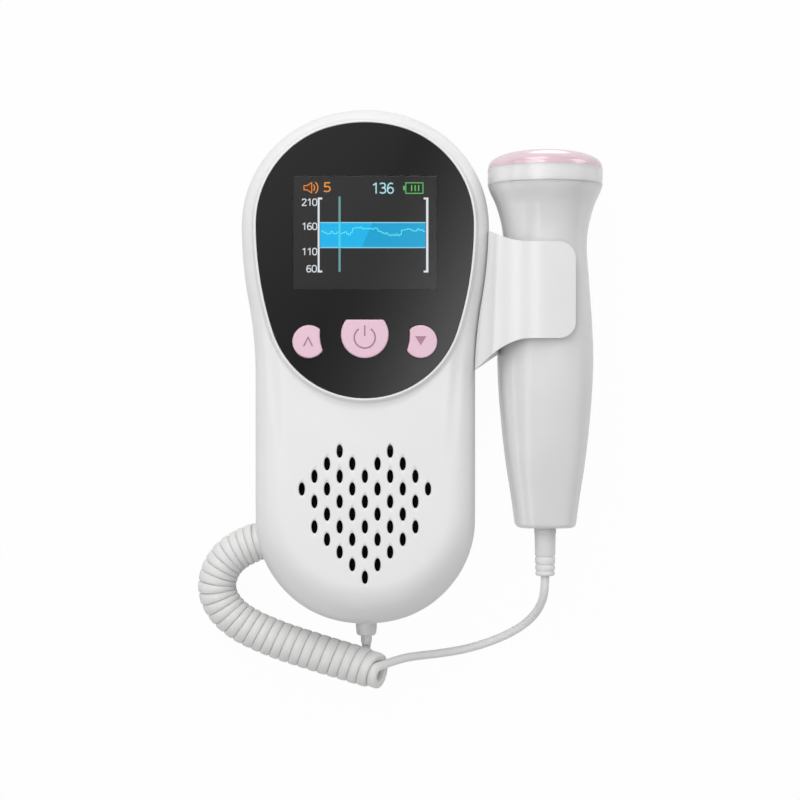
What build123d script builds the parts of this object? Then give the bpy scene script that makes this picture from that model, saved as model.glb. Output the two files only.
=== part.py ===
"""Fetal doppler monitor: a hand-held unit with a screen and three keys, a probe in a side clip, and its curly cord.

The unit lies on its back. X runs to the right across the face, Y towards the top of the face, and Z out of the face.
The origin is the centre of the flat back. All sizes are in millimetres.
"""

import os
from math import acos, atan, copysign, cos, degrees, pi, radians, sin, sqrt, tan

from build123d import *

os.makedirs("parts", exist_ok=True)

# ---------------------------------------------------------------- driving sizes

# Case
case_length = 148.7
case_depth = 30.0
parting_z = 14.0
wall = 2.0
back_round = 12.0
front_round = 8.0
head_half_width = 35.7
head_side_centre = 2.7
crown_radius = 40.0
cheek_length = 43.0
cheek_step = 4.0
foot_corner_centre = 1.7
sole_radius = 38.0

# Black panel and its raised lip
egg_half_width = 30.9
egg_length = 78.3
egg_top_margin = 4.75
egg_crown_radius = 37.0
egg_side_centre = 2.4
egg_point_step = 3.4
lip_width = 1.5
lip_height = 1.2
lip_round = 0.8
panel_thickness = 1.8
panel_set_back = 0.6
panel_gap = 0.15
panel_bed_gap = 0.05
floor_under_panel = 1.5

# Screen
screen_width = 41.0
screen_height = 32.4
screen_below_egg_top = 31.2
window_gap = 0.08
module_border = 2.3
module_corner = 1.0
module_depth = 4.6
module_glass = 1.4
module_gap = 0.1

# Keys
key_travel = 0.8
key_gap = 0.22
key_proud = 1.35
key_edge_round = 0.45
key_flange = 0.9
key_flange_thickness = 1.0
key_slack = 0.15
power_radius = 6.77
power_above_egg_foot = 18.06
power_flat_rise = 4.2
power_corner = 0.9
side_key_radius = 4.7
side_key_x = 15.9
side_key_drop = 2.06
side_key_bite = 12.8
side_key_corner = 0.7

# Board, switches and ribbon
board_thickness = 1.6
board_gap = 0.6
board_half_width = 28.2
board_corner = 9.0
board_below_egg_top = 11.2
board_past_egg_foot = 5.3
board_post_radius = 2.2
board_post_x = (24.0, 26.0)
board_post_above_egg_foot = (-0.3, 38.7)
board_screw_radius = 0.95
board_screw_head_radius = 1.9
board_screw_head_height = 1.0
board_screw_length = 4.6
switch_side = 6.0
switch_height = 1.2
plunger_radius = 1.75
ribbon_width = 14.0
ribbon_thickness = 0.25
ribbon_reach = 5.0
ribbon_height = 1.0

# Speaker and its slots
speaker_above_foot = 32.45
speaker_rim = 2.7
speaker_depth = 4.0
magnet_radius = 9.0
magnet_depth = 3.2
basket_floor = 1.2
basket_slope = 25
cone_radius = 16.8
cone_sink = 1.2
cone_thickness = 1.0
cone_cap_radius = 5.5
cone_rim_width = 1.1
cone_rim_sink = 0.5
cone_rim_thickness = 0.4
cone_gap = 0.5
gasket_thickness = 0.5
mesh_thickness = 0.4
cradle_wall = 1.2
slot_width = 1.44
slot_length = 3.85
slot_pitch = 3.6
slot_rows = (
    (3, 7),
    (2, 4, 6, 8),
    (1, 3, 5, 7, 9),
    (0, 2, 4, 6, 8, 10),
    (1, 3, 5, 7, 9),
    (2, 4, 6, 8),
    (1, 3, 5, 7, 9),
    (2, 4, 6, 8),
    (3, 5, 7),
    (4, 6),
    (5,),
)
slot_middle_column = 5
slot_middle_row = 5

# Batteries, their box and the cover
cell_radius = 7.25
cell_length = 49.5
cell_nub_radius = 2.7
cell_nub_height = 1.0
cell_gap = 0.4
spring_room = 4.2
spring_wire = 0.4
spring_radius = 3.0
spring_turns = 3
spring_taper = 0.3
contact_thickness = 0.5
contact_width = 9.0
contact_height = 10.0
box_wall = 1.2
box_above_foot = 23.85
cover_half_width = 19.6
cover_thickness = 1.9
cover_past_box = 4.3
cover_gap = 0.2
cover_floor = 1.2
tongue_width = 10.0
tongue_reach = 2.6
tongue_thickness = 0.9

# Case screws
case_screw_x = (16.0, 25.2)
case_screw_below_top = 10.85
case_screw_above_foot = 38.35
case_screw_radius = 1.3
case_screw_head_radius = 2.4
case_screw_head_height = 1.6
case_screw_head_z = 3.2
case_screw_length = 19.0
case_screw_socket = 0.9
boss_radius = 3.0
screw_gap = 0.05
hole_gap = 0.25

# Jack socket and plug
jack_z = 5.4
jack_bore_radius = 1.3
jack_block_width = 6.0
jack_block_height = 4.6
jack_block_length = 12.0
plug_collar_radius = 3.15
plug_collar_length = 4.6
plug_collar_gap = 0.2
plug_collar_draft = 0.3
plug_neck_radius = 1.65
plug_neck_length = 2.0
plug_cone_length = 1.0
plug_pin_radius = 1.25
plug_pin_length = 11.0
plug_pin_chamfer = 0.5

# Probe holder on the case's right side
holder_wall = 2.6
holder_gap = 0.1
holder_below_top = 38.55
holder_length = 27.5
holder_flare_top = 3.6
holder_flare_foot = 6.4
holder_flare_length = 9.5
holder_reach = 7.7
holder_corner = 4.6
holder_crease_x = 37.2
holder_crease_round = 1.6
holder_slope_width = 3.6
holder_slope_height = 12.0
holder_inner_bend = 3.4
holder_half_gap = 13.3
holder_spine_x = 38.3
holder_screw_inset = (4.8, 20.8)
holder_screw_z = 19.5
holder_screw_radius = 1.0
holder_screw_head_radius = 1.9
holder_screw_head_height = 1.1
holder_skin = 0.9

# Probe
probe_x = 52.3
probe_z = 17.0
probe_wall = 1.8
probe_foot_round = 1.2
probe_below_top = 21.15
section_points = 24
head_radius = 16.7
head_ring_wall = 2.2
head_ring_height = 4.8
head_ring_step = 0.1
dome_inset = 0.1
dome_rise = 5.3
dome_shoulder = 0.62
dome_shoulder_rise = 4.5
spigot_gap = 0.08
spigot_depth = 3.0
crystal_radius = 11.0
crystal_thickness = 1.0
crystal_slit = 0.8
backing_thickness = 6.0
probe_board_width = 11.0
probe_board_length = 46.0
probe_board_thickness = 1.2
probe_board_above_foot = 18.3
# Distance below the seam, half width, half depth and squareness of each section, from 2 for round
probe_sections = (
    (0.0, head_radius - head_ring_step, head_radius - head_ring_step, 2.0),
    (5.4, 14.4, 14.4, 2.0),
    (17.6, 12.05, 12.0, 2.2),
    (34.0, 13.1, 12.3, 2.6),
    (51.0, 13.85, 12.5, 2.9),
    (68.3, 12.8, 11.7, 3.1),
    (84.0, 10.7, 10.1, 3.3),
    (99.5, 8.8, 8.6, 3.4),
)

# Strain relief
relief_radius = 3.2
relief_collar = 1.9
relief_tip_radius = 2.8
relief_length = 14.2
relief_groove = 0.35
relief_groove_width = 0.7
relief_grooves = (8.6, 10.9, 12.8)
relief_stem_radius = 2.4
relief_flange_radius = 3.6
relief_flange = 1.4
relief_tip_length = 0.4
relief_tip_step = 0.5

# Cords
lead_radius = 1.25
coil_radius = 6.05
run_share = 0.45

# How far a cutting solid runs past the face that it cuts
overrun = 1.0

# ---------------------------------------------------------------- worked out from them

case_top_y = case_length / 2
case_foot_y = -case_length / 2
foot_half_width = head_half_width - cheek_step
head_side_radius = head_half_width - head_side_centre
foot_corner_radius = foot_half_width - foot_corner_centre
egg_top_y = case_top_y - egg_top_margin
egg_foot_y = egg_top_y - egg_length
egg_side_radius = egg_half_width - egg_side_centre
egg_point_radius = egg_half_width - egg_point_step
screen_y = egg_top_y - screen_below_egg_top
power_y = egg_foot_y + power_above_egg_foot
side_key_y = power_y - side_key_drop
board_top_y = egg_top_y - board_below_egg_top
board_foot_y = egg_foot_y - board_past_egg_foot
board_post_spots = [(x, egg_foot_y + up) for x, up in zip(board_post_x, board_post_above_egg_foot)]
speaker_y = case_foot_y + speaker_above_foot
speaker_radius = cone_radius + speaker_rim
case_screw_y = (case_top_y - case_screw_below_top, case_foot_y + case_screw_above_foot)
case_screw_spots = list(zip(case_screw_x, case_screw_y))
lip_top = case_depth + lip_height
panel_top = lip_top - panel_set_back
panel_foot = panel_top - panel_thickness
recess_floor = panel_foot - panel_bed_gap
under_floor = recess_floor - floor_under_panel
inner_ceiling = case_depth - wall
key_top = panel_top + key_proud
key_flange_top = under_floor - key_slack
key_foot = key_flange_top - key_flange_thickness
plunger_top = key_foot - key_travel - key_slack
module_top = recess_floor - module_gap
module_foot = module_top - module_depth
module_frame_top = under_floor - module_gap
module_ledge = module_frame_top - module_glass
board_top = module_foot - board_gap
board_foot = board_top - board_thickness
channel_top = cover_thickness + cover_gap
shelf_top = channel_top + cover_floor
cell_z = channel_top + cell_gap + cell_radius
box_ceiling = cell_z + cell_radius + cell_gap
box_half_width = 2 * cell_radius + 2 * cell_gap
box_length = cell_length + cell_nub_height + spring_room + 2 * contact_thickness
box_foot_y = case_foot_y + box_above_foot
box_top_y = box_foot_y + box_length
cover_top_y = box_top_y + cover_past_box
plug_face_y = case_foot_y - plug_collar_gap
plug_foot_y = plug_face_y - plug_collar_length - plug_neck_length - plug_cone_length
holder_top_y = case_top_y - holder_below_top
holder_foot_y = holder_top_y - holder_length
holder_screw_spots = [holder_top_y - inset for inset in holder_screw_inset]
probe_seam_y = case_top_y - probe_below_top
probe_foot_y = probe_seam_y - probe_sections[-1][0]
probe_board_foot_y = probe_foot_y + probe_board_above_foot
seam_to_dome = probe_seam_y + head_ring_height
relief_tip_y = probe_foot_y - relief_length

# ---------------------------------------------------------------- shared shapes


def joined_arc(end_y, flat_radius, side_radius, half_width):
    """Where an end arc meets the tighter side arc: the angle of the joint, and the height of the side arc's centre."""
    sign = 1 if end_y > 0 else -1
    angle = degrees(acos((half_width - side_radius) / (flat_radius - side_radius)))
    rise = flat_radius - (flat_radius - side_radius) * sin(radians(angle))
    return angle, end_y - sign * rise


crown_angle, head_y = joined_arc(case_top_y, crown_radius, head_side_radius, head_half_width)
sole_angle, foot_y = joined_arc(case_foot_y, sole_radius, foot_corner_radius, foot_half_width)
cheek_angle = 2 * degrees(atan(cheek_step / cheek_length))
cheek_radius = cheek_length / (2 * sin(radians(cheek_angle)))
egg_angle, egg_y = joined_arc(egg_top_y, egg_crown_radius, egg_side_radius, egg_half_width)
egg_point_y = egg_foot_y + egg_point_radius
egg_drop = egg_y - egg_point_y
egg_flank_radius = (egg_half_width**2 + egg_drop**2 - egg_point_radius**2) / (
    2 * (egg_half_width - egg_point_radius)
)
egg_flank_angle = degrees(atan(egg_drop / (egg_flank_radius - egg_half_width)))


def case_outline(inset):
    """The face's outline, drawn in by inset: a wide round head, a narrower foot and a soft waist between."""
    side = foot_half_width - inset
    waist_y = head_y - cheek_length
    arcs = (
        (0, case_top_y - crown_radius, crown_radius - inset, 90, crown_angle),
        (head_side_centre, head_y, head_side_radius - inset, crown_angle, 0),
        (head_half_width - cheek_radius, head_y, cheek_radius - inset, 0, -cheek_angle),
        (foot_half_width + cheek_radius, waist_y, cheek_radius + inset, 180 - cheek_angle, 180),
        (foot_corner_centre, foot_y, foot_corner_radius - inset, 0, -sole_angle),
        (0, case_foot_y + sole_radius, sole_radius - inset, -sole_angle, -90),
    )
    with BuildSketch() as outline:
        with BuildLine():
            for x, y, radius, start, end in arcs:
                CenterArc((x, y), radius, start, end - start)
            Line((side, waist_y), (side, foot_y))
            mirror(about=Plane.YZ)
        make_face()
    return outline.sketch


def cheek_half_width(y):
    """Half width of the case at a height between the head's widest line and the foot."""
    down = min(cheek_length, max(0, head_y - y))
    if down < cheek_length / 2:
        return head_half_width - cheek_radius + sqrt(cheek_radius**2 - down**2)
    return foot_half_width + cheek_radius - sqrt(cheek_radius**2 - (cheek_length - down) ** 2)


def egg_outline(grow):
    """The black panel's outline, let out by grow: an egg with its point towards the foot."""
    arcs = (
        (0, egg_top_y - egg_crown_radius, egg_crown_radius + grow, 90, egg_angle),
        (egg_side_centre, egg_y, egg_side_radius + grow, egg_angle, 0),
        (egg_half_width - egg_flank_radius, egg_y, egg_flank_radius + grow, 0, -egg_flank_angle),
        (0, egg_point_y, egg_point_radius + grow, -egg_flank_angle, -90),
    )
    with BuildSketch() as outline:
        with BuildLine():
            for x, y, radius, start, end in arcs:
                CenterArc((x, y), radius, start, end - start)
            mirror(about=Plane.YZ)
        make_face()
    return outline.sketch


def case_block(inset):
    """The whole case as one solid, drawn in by inset on every side."""
    with BuildPart() as block:
        with BuildSketch(Plane.XY.offset(inset)):
            add(case_outline(inset))
        extrude(amount=case_depth - 2 * inset)
        fillet(block.faces().sort_by(Axis.Z)[0].edges(), radius=back_round - inset)
        fillet(block.faces().sort_by(Axis.Z)[-1].edges(), radius=front_round - inset)
    return block.part


def key_outline(name, grow):
    """The outline of one key with its corners rounded, let out by grow."""
    side = {"up": -1, "power": 0, "down": 1}[name]
    corner = side_key_corner if side else power_corner
    with BuildSketch() as outline:
        if side:
            with Locations((side * side_key_x, side_key_y)):
                Circle(side_key_radius)
            with Locations((0, power_y)):
                Circle(side_key_bite, mode=Mode.SUBTRACT)
        else:
            with Locations((0, power_y)):
                Circle(power_radius)
            with Locations((0, power_y + power_flat_rise + power_radius)):
                Rectangle(4 * power_radius, 2 * power_radius, mode=Mode.SUBTRACT)
        offset(amount=-corner, mode=Mode.REPLACE)
        offset(amount=corner + grow, kind=Kind.ARC, mode=Mode.REPLACE)
    return outline.sketch


def both_sides(spots):
    """The spots and their mirror images across the case."""
    return [(side * x, y) for x, y in spots for side in (-1, 1)]


def save(part, name):
    """Label a finished piece and write it."""
    part.label = name
    export_step(part, f"parts/{name}.step")


# ---------------------------------------------------------------- front shell

# The hollow behind the face, less the lens floor, screw bosses, board posts and speaker cradle that stand in it.
# The speaker keeps its own room, also where the lens floor would reach over it.
with BuildPart() as front_hollow:
    add(case_block(wall))
    with BuildSketch(Plane.XY.offset(under_floor)):
        add(egg_outline(lip_width))
    extrude(amount=wall, mode=Mode.SUBTRACT)
    with BuildSketch(Plane.XY.offset(inner_ceiling - speaker_depth)):
        with Locations((0, speaker_y)):
            Circle(speaker_radius + hole_gap)
    extrude(amount=speaker_depth)
    with BuildSketch(Plane.XY.offset(parting_z)):
        with Locations(*both_sides(case_screw_spots)):
            Circle(boss_radius)
    extrude(amount=case_depth, mode=Mode.SUBTRACT)
    with BuildSketch(Plane.XY.offset(board_top)):
        with Locations(*both_sides(board_post_spots)):
            Circle(board_post_radius)
    extrude(amount=case_depth, mode=Mode.SUBTRACT)
    with BuildSketch(Plane.XY.offset(inner_ceiling - speaker_depth)):
        with Locations((0, speaker_y)):
            Circle(speaker_radius + hole_gap + cradle_wall)
            Circle(speaker_radius + hole_gap, mode=Mode.SUBTRACT)
    extrude(amount=case_depth, mode=Mode.SUBTRACT)

slot_spots = []
for row, columns in enumerate(slot_rows):
    for column in columns:
        across = (column - slot_middle_column) * slot_pitch
        up = speaker_y + (slot_middle_row - row) * slot_pitch
        slot_spots.append((across, up))

with BuildPart() as front_shell:
    add(case_block(0))
    with BuildSketch(Plane.XY.offset(case_depth - front_round)):
        add(egg_outline(lip_width))
    extrude(amount=front_round + lip_height)
    fillet(front_shell.faces().sort_by(Axis.Z)[-1].edges(), radius=lip_round)
    add(front_hollow.part, mode=Mode.SUBTRACT)
    split(bisect_by=Plane.XY.offset(parting_z), keep=Keep.TOP)
    with BuildSketch(Plane.XY.offset(recess_floor)):
        add(egg_outline(panel_gap))
    extrude(amount=case_depth, mode=Mode.SUBTRACT)
    with BuildSketch(Plane.XY.offset(under_floor - overrun)):
        with Locations((0, screen_y)):
            Rectangle(screen_width + 2 * hole_gap, screen_height + 2 * hole_gap)
        for key in ("up", "power", "down"):
            add(key_outline(key, key_gap))
    extrude(amount=case_depth, mode=Mode.SUBTRACT)
    with BuildSketch(Plane.XY.offset(inner_ceiling - overrun)):
        with Locations(*slot_spots):
            Ellipse(slot_width / 2, slot_length / 2)
    extrude(amount=case_depth, mode=Mode.SUBTRACT)
    with BuildSketch(Plane.XY.offset(parting_z)):
        with Locations(*both_sides(case_screw_spots)):
            Circle(case_screw_radius + screw_gap)
    extrude(amount=case_screw_head_z + case_screw_length + overrun - parting_z, mode=Mode.SUBTRACT)
    with BuildSketch(Plane.XY.offset(board_top)):
        with Locations(*both_sides(board_post_spots)):
            Circle(board_screw_radius + screw_gap)
    extrude(amount=board_screw_length - board_thickness, mode=Mode.SUBTRACT)
    with BuildSketch(Plane.YZ.offset(foot_half_width - front_round)):
        with Locations(*[(y, holder_screw_z) for y in holder_screw_spots]):
            Circle(holder_screw_radius + screw_gap)
    extrude(amount=case_depth, mode=Mode.SUBTRACT)
save(front_shell.part, "front_shell")

# ---------------------------------------------------------------- back shell

# The hollow in front of the back, less the shelf over the cover, the screw bosses and the jack's seat.
with BuildPart() as back_hollow:
    add(case_block(wall))
    with BuildSketch(Plane.XY):
        with Locations((0, (case_foot_y + cover_top_y + tongue_reach + wall) / 2)):
            Rectangle(
                2 * (cover_half_width + cover_gap + wall),
                cover_top_y + tongue_reach + wall - case_foot_y,
            )
    extrude(amount=shelf_top, mode=Mode.SUBTRACT)
    with BuildSketch(Plane.XY):
        with Locations(*both_sides(case_screw_spots)):
            Circle(boss_radius)
    extrude(amount=parting_z, mode=Mode.SUBTRACT)

# The channel that the cover slides in, open towards the foot, with a pocket for its tongue.
channel_length = cover_top_y + cover_gap - case_foot_y + overrun
with BuildPart() as cover_channel:
    with BuildSketch(Plane.XY.offset(-overrun)):
        with Locations((0, cover_top_y + cover_gap - channel_length / 2)):
            Rectangle(2 * (cover_half_width + cover_gap), channel_length)
    extrude(amount=channel_top + overrun)
    with BuildSketch(Plane.XY.offset(channel_top - tongue_thickness - 2 * cover_gap)):
        with Locations((0, cover_top_y)):
            Rectangle(tongue_width + 2 * cover_gap, 2 * (tongue_reach + cover_gap))
    extrude(amount=tongue_thickness + 2 * cover_gap)

with BuildPart() as back_shell:
    add(case_block(0))
    add(back_hollow.part, mode=Mode.SUBTRACT)
    split(bisect_by=Plane.XY.offset(parting_z), keep=Keep.BOTTOM)
    with BuildSketch(Plane.XY.offset(channel_top)):
        with Locations((0, box_foot_y + box_length / 2)):
            Rectangle(2 * (box_half_width + box_wall), box_length + 2 * box_wall)
    extrude(amount=box_ceiling + box_wall - channel_top)
    add(cover_channel.part, mode=Mode.SUBTRACT)
    with BuildSketch(Plane.XY.offset(channel_top - overrun)):
        with Locations((0, box_foot_y + box_length / 2)):
            Rectangle(2 * box_half_width, box_length)
    extrude(amount=box_ceiling - channel_top + overrun, mode=Mode.SUBTRACT)
    with BuildSketch(Plane.XY.offset(-overrun)):
        with Locations(*both_sides(case_screw_spots)):
            Circle(case_screw_head_radius + hole_gap)
    extrude(amount=case_screw_head_z + case_screw_head_height + overrun, mode=Mode.SUBTRACT)
    with BuildSketch(Plane.XY.offset(-overrun)):
        with Locations(*both_sides(case_screw_spots)):
            Circle(case_screw_radius + hole_gap)
    extrude(amount=parting_z + 2 * overrun, mode=Mode.SUBTRACT)
    with BuildSketch(Plane.XZ.offset(-case_foot_y + overrun)):
        with Locations((0, jack_z)):
            Circle(plug_pin_radius + hole_gap)
    extrude(amount=-jack_block_length - overrun, mode=Mode.SUBTRACT)
    jack_seat_y = case_foot_y + back_round - 2 * wall
    with BuildSketch(Plane.XZ.offset(-jack_seat_y)):
        with Locations((0, jack_z)):
            Rectangle(jack_block_width + 2 * cover_gap, jack_block_height + 2 * cover_gap)
    extrude(amount=-jack_block_length - cover_gap, mode=Mode.SUBTRACT)
save(back_shell.part, "back_shell")

# ---------------------------------------------------------------- battery cover

with BuildPart() as battery_cover:
    with BuildSketch(Plane.XY):
        with Locations((0, (case_foot_y + cover_top_y) / 2)):
            Rectangle(2 * cover_half_width, cover_top_y - case_foot_y)
    extrude(amount=cover_thickness)
    with BuildSketch(Plane.XY.offset(cover_thickness - tongue_thickness)):
        with Locations((0, cover_top_y)):
            Rectangle(tongue_width, 2 * tongue_reach)
    extrude(amount=tongue_thickness)
    add(case_block(0), mode=Mode.INTERSECT)
save(battery_cover.part, "battery_cover")

# ---------------------------------------------------------------- black panel and window

with BuildPart() as panel:
    with BuildSketch(Plane.XY.offset(panel_foot)):
        add(egg_outline(0))
        with Locations((0, screen_y)):
            Rectangle(screen_width, screen_height, mode=Mode.SUBTRACT)
        for key in ("up", "power", "down"):
            add(key_outline(key, key_gap), mode=Mode.SUBTRACT)
    extrude(amount=panel_thickness)
save(panel.part, "front_panel")

with BuildPart() as window:
    with BuildSketch(Plane.XY.offset(panel_foot)):
        with Locations((0, screen_y)):
            Rectangle(screen_width - 2 * window_gap, screen_height - 2 * window_gap)
    extrude(amount=panel_thickness)
save(window.part, "display_window")

# ---------------------------------------------------------------- screen module

module_width = screen_width + 2 * module_border
module_height = screen_height + 2 * module_border
with BuildPart() as module_frame:
    with BuildSketch(Plane.XY.offset(module_foot)):
        with Locations((0, screen_y)):
            RectangleRounded(module_width, module_height, module_corner)
    extrude(amount=module_frame_top - module_foot)
    with BuildSketch(Plane.XY.offset(module_ledge)):
        with Locations((0, screen_y)):
            Rectangle(screen_width, screen_height)
    extrude(amount=case_depth, mode=Mode.SUBTRACT)
save(module_frame.part, "display_frame")

with BuildPart() as module_screen:
    with BuildSketch(Plane.XY.offset(module_ledge)):
        with Locations((0, screen_y)):
            Rectangle(screen_width - 2 * window_gap, screen_height - 2 * window_gap)
    extrude(amount=module_top - module_ledge)
save(module_screen.part, "display_screen")

ribbon_top_y = screen_y - module_height / 2
ribbon_start_z = module_foot + ribbon_height
with BuildPart() as ribbon:
    with BuildSketch(Plane.YZ.offset(-ribbon_width / 2)):
        with BuildLine():
            Polyline(
                (ribbon_top_y, ribbon_start_z),
                (ribbon_top_y - ribbon_reach / 2, ribbon_start_z),
                (ribbon_top_y - ribbon_reach / 2, board_top + ribbon_thickness),
                (ribbon_top_y - ribbon_reach, board_top + ribbon_thickness),
                (ribbon_top_y - ribbon_reach, board_top),
                (ribbon_top_y - ribbon_reach / 2 + ribbon_thickness, board_top),
                (ribbon_top_y - ribbon_reach / 2 + ribbon_thickness, ribbon_start_z - ribbon_thickness),
                (ribbon_top_y, ribbon_start_z - ribbon_thickness),
                close=True,
            )
        make_face()
    extrude(amount=ribbon_width)
save(ribbon.part, "display_ribbon")

# ---------------------------------------------------------------- keys

for key in ("up", "power", "down"):
    with BuildPart() as cap:
        with BuildSketch(Plane.XY.offset(key_foot)):
            add(key_outline(key, 0))
        extrude(amount=key_top - key_foot)
        fillet(cap.faces().sort_by(Axis.Z)[-1].edges(), radius=key_edge_round)
        with BuildSketch(Plane.XY.offset(key_foot)):
            add(key_outline(key, key_flange))
        extrude(amount=key_flange_thickness)
    save(cap.part, f"{key}_button")

# ---------------------------------------------------------------- board, switches, screws

with BuildPart() as board:
    with BuildSketch(Plane.XY.offset(board_foot)):
        with Locations((0, (board_foot_y + board_top_y) / 2)):
            RectangleRounded(2 * board_half_width, board_top_y - board_foot_y, board_corner)
        with Locations(*both_sides(board_post_spots)):
            Circle(board_screw_radius + hole_gap, mode=Mode.SUBTRACT)
    extrude(amount=board_thickness)
save(board.part, "main_board")

switch_spots = ((-side_key_x, side_key_y), (0, power_y), (side_key_x, side_key_y))
with BuildPart() as switches:
    with BuildSketch(Plane.XY.offset(board_top)):
        with Locations(*switch_spots):
            Rectangle(switch_side, switch_side)
    extrude(amount=switch_height)
    with BuildSketch(Plane.XY.offset(board_top + switch_height)):
        with Locations(*switch_spots):
            Circle(plunger_radius)
    extrude(amount=plunger_top - board_top - switch_height)
save(switches.part, "key_switches")

with BuildPart() as board_screws:
    with BuildSketch(Plane.XY.offset(board_foot - board_screw_head_height)):
        with Locations(*both_sides(board_post_spots)):
            Circle(board_screw_head_radius)
    extrude(amount=board_screw_head_height)
    with BuildSketch(Plane.XY.offset(board_foot)):
        with Locations(*both_sides(board_post_spots)):
            Circle(board_screw_radius)
    extrude(amount=board_screw_length)
save(board_screws.part, "board_screws")

with BuildPart() as case_screws:
    with BuildSketch(Plane.XY.offset(case_screw_head_z)):
        with Locations(*both_sides(case_screw_spots)):
            Circle(case_screw_head_radius)
            RegularPolygon(case_screw_socket, 6, mode=Mode.SUBTRACT)
    extrude(amount=case_screw_head_height)
    with BuildSketch(Plane.XY.offset(case_screw_head_z + case_screw_head_height / 2)):
        with Locations(*both_sides(case_screw_spots)):
            Circle(case_screw_radius)
    extrude(amount=case_screw_length - case_screw_head_height / 2)
save(case_screws.part, "case_screws")

# ---------------------------------------------------------------- speaker

speaker_top = inner_ceiling - mesh_thickness - gasket_thickness
with BuildPart() as speaker:
    with BuildSketch(Plane.XY.offset(speaker_top - speaker_depth)):
        with Locations((0, speaker_y)):
            Circle(speaker_radius)
    extrude(amount=speaker_depth)
    with BuildSketch(Plane.XY.offset(speaker_top)):
        with Locations((0, speaker_y)):
            Circle(cone_radius)
    extrude(amount=basket_floor - speaker_depth, mode=Mode.SUBTRACT, taper=basket_slope)
    with BuildSketch(Plane.XY.offset(speaker_top - speaker_depth - magnet_depth)):
        with Locations((0, speaker_y)):
            Circle(magnet_radius)
    extrude(amount=magnet_depth)
save(speaker.part, "speaker")

cone_edge_radius = cone_radius - cone_gap
cone_rim_z = speaker_top - cone_rim_sink
cone_cap_z = speaker_top - cone_sink
with BuildPart() as cone:
    with BuildSketch(Plane.XZ.offset(-speaker_y)):
        with BuildLine():
            Polyline(
                (0, cone_cap_z - cone_thickness),
                (cone_cap_radius, cone_cap_z - cone_thickness),
                (cone_edge_radius - cone_rim_width, cone_rim_z - cone_rim_thickness),
                (cone_edge_radius, cone_rim_z - cone_rim_thickness),
                (cone_edge_radius, cone_rim_z),
                (cone_edge_radius - cone_rim_width, cone_rim_z),
                (cone_cap_radius, cone_cap_z - cone_thickness / 2),
                (0, cone_cap_z),
                close=True,
            )
        make_face()
    revolve(axis=Axis((0, speaker_y, 0), (0, 0, 1)))
save(cone.part, "speaker_cone")

with BuildPart() as gasket:
    with BuildSketch(Plane.XY.offset(speaker_top)):
        with Locations((0, speaker_y)):
            Circle(speaker_radius)
            Circle(cone_radius, mode=Mode.SUBTRACT)
    extrude(amount=gasket_thickness)
save(gasket.part, "speaker_gasket")

with BuildPart() as mesh:
    with BuildSketch(Plane.XY.offset(inner_ceiling - mesh_thickness)):
        with Locations((0, speaker_y)):
            Circle(speaker_radius)
    extrude(amount=mesh_thickness)
save(mesh.part, "speaker_mesh")

# ---------------------------------------------------------------- batteries and contacts

# The left cell points towards the head and the right one towards the foot.
cell_foot_y = box_foot_y + contact_thickness
for side, up in ((-1, True), (1, False)):
    spring_end = cell_foot_y + (spring_room if up else 0)
    with BuildPart() as cell:
        body_foot = spring_end + (0 if up else cell_nub_height)
        with BuildSketch(Plane.XZ.offset(-body_foot)):
            with Locations((side * (cell_radius + cell_gap / 2), cell_z)):
                Circle(cell_radius)
        extrude(amount=-cell_length)
        nub_foot = body_foot + cell_length if up else body_foot
        with BuildSketch(Plane.XZ.offset(-nub_foot)):
            with Locations((side * (cell_radius + cell_gap / 2), cell_z)):
                Circle(cell_nub_radius)
        extrude(amount=-cell_nub_height if up else cell_nub_height)
    save(cell.part, "left_battery" if up else "right_battery")

contact_top_y = box_top_y - contact_thickness
with BuildPart() as contacts:
    for side in (-1, 1):
        for foot in (box_foot_y, contact_top_y):
            with BuildSketch(Plane.XZ.offset(-foot)):
                with Locations((side * (cell_radius + cell_gap / 2), cell_z)):
                    Rectangle(contact_width, contact_height)
            extrude(amount=-contact_thickness)
save(contacts.part, "battery_contacts")

with BuildPart() as springs:
    for side, foot in ((-1, cell_foot_y), (1, contact_top_y)):
        for turn in range(spring_turns):
            step = side * -1 * (spring_wire + turn * (spring_room - 2 * spring_wire) / (spring_turns - 1))
            coil_plane = Plane((side * (cell_radius + cell_gap / 2), foot + step, cell_z), (1, 0, 0), (0, 1, 0))
            with Locations(coil_plane):
                Torus(spring_radius - spring_taper * turn, spring_wire)
save(springs.part, "battery_springs")

# ---------------------------------------------------------------- jack socket and plug

with BuildPart() as jack:
    with BuildSketch(Plane.XZ.offset(-jack_seat_y)):
        with Locations((0, jack_z)):
            Rectangle(jack_block_width, jack_block_height)
            Circle(jack_bore_radius + screw_gap, mode=Mode.SUBTRACT)
    extrude(amount=-jack_block_length)
save(jack.part, "jack_socket")

with BuildPart() as plug_pin:
    with BuildSketch(Plane.XZ.offset(-plug_face_y)):
        with Locations((0, jack_z)):
            Circle(plug_pin_radius)
    extrude(amount=-plug_pin_length)
    chamfer(plug_pin.faces().sort_by(Axis.Y)[-1].edges(), length=plug_pin_chamfer)
save(plug_pin.part, "plug_pin")

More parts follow.
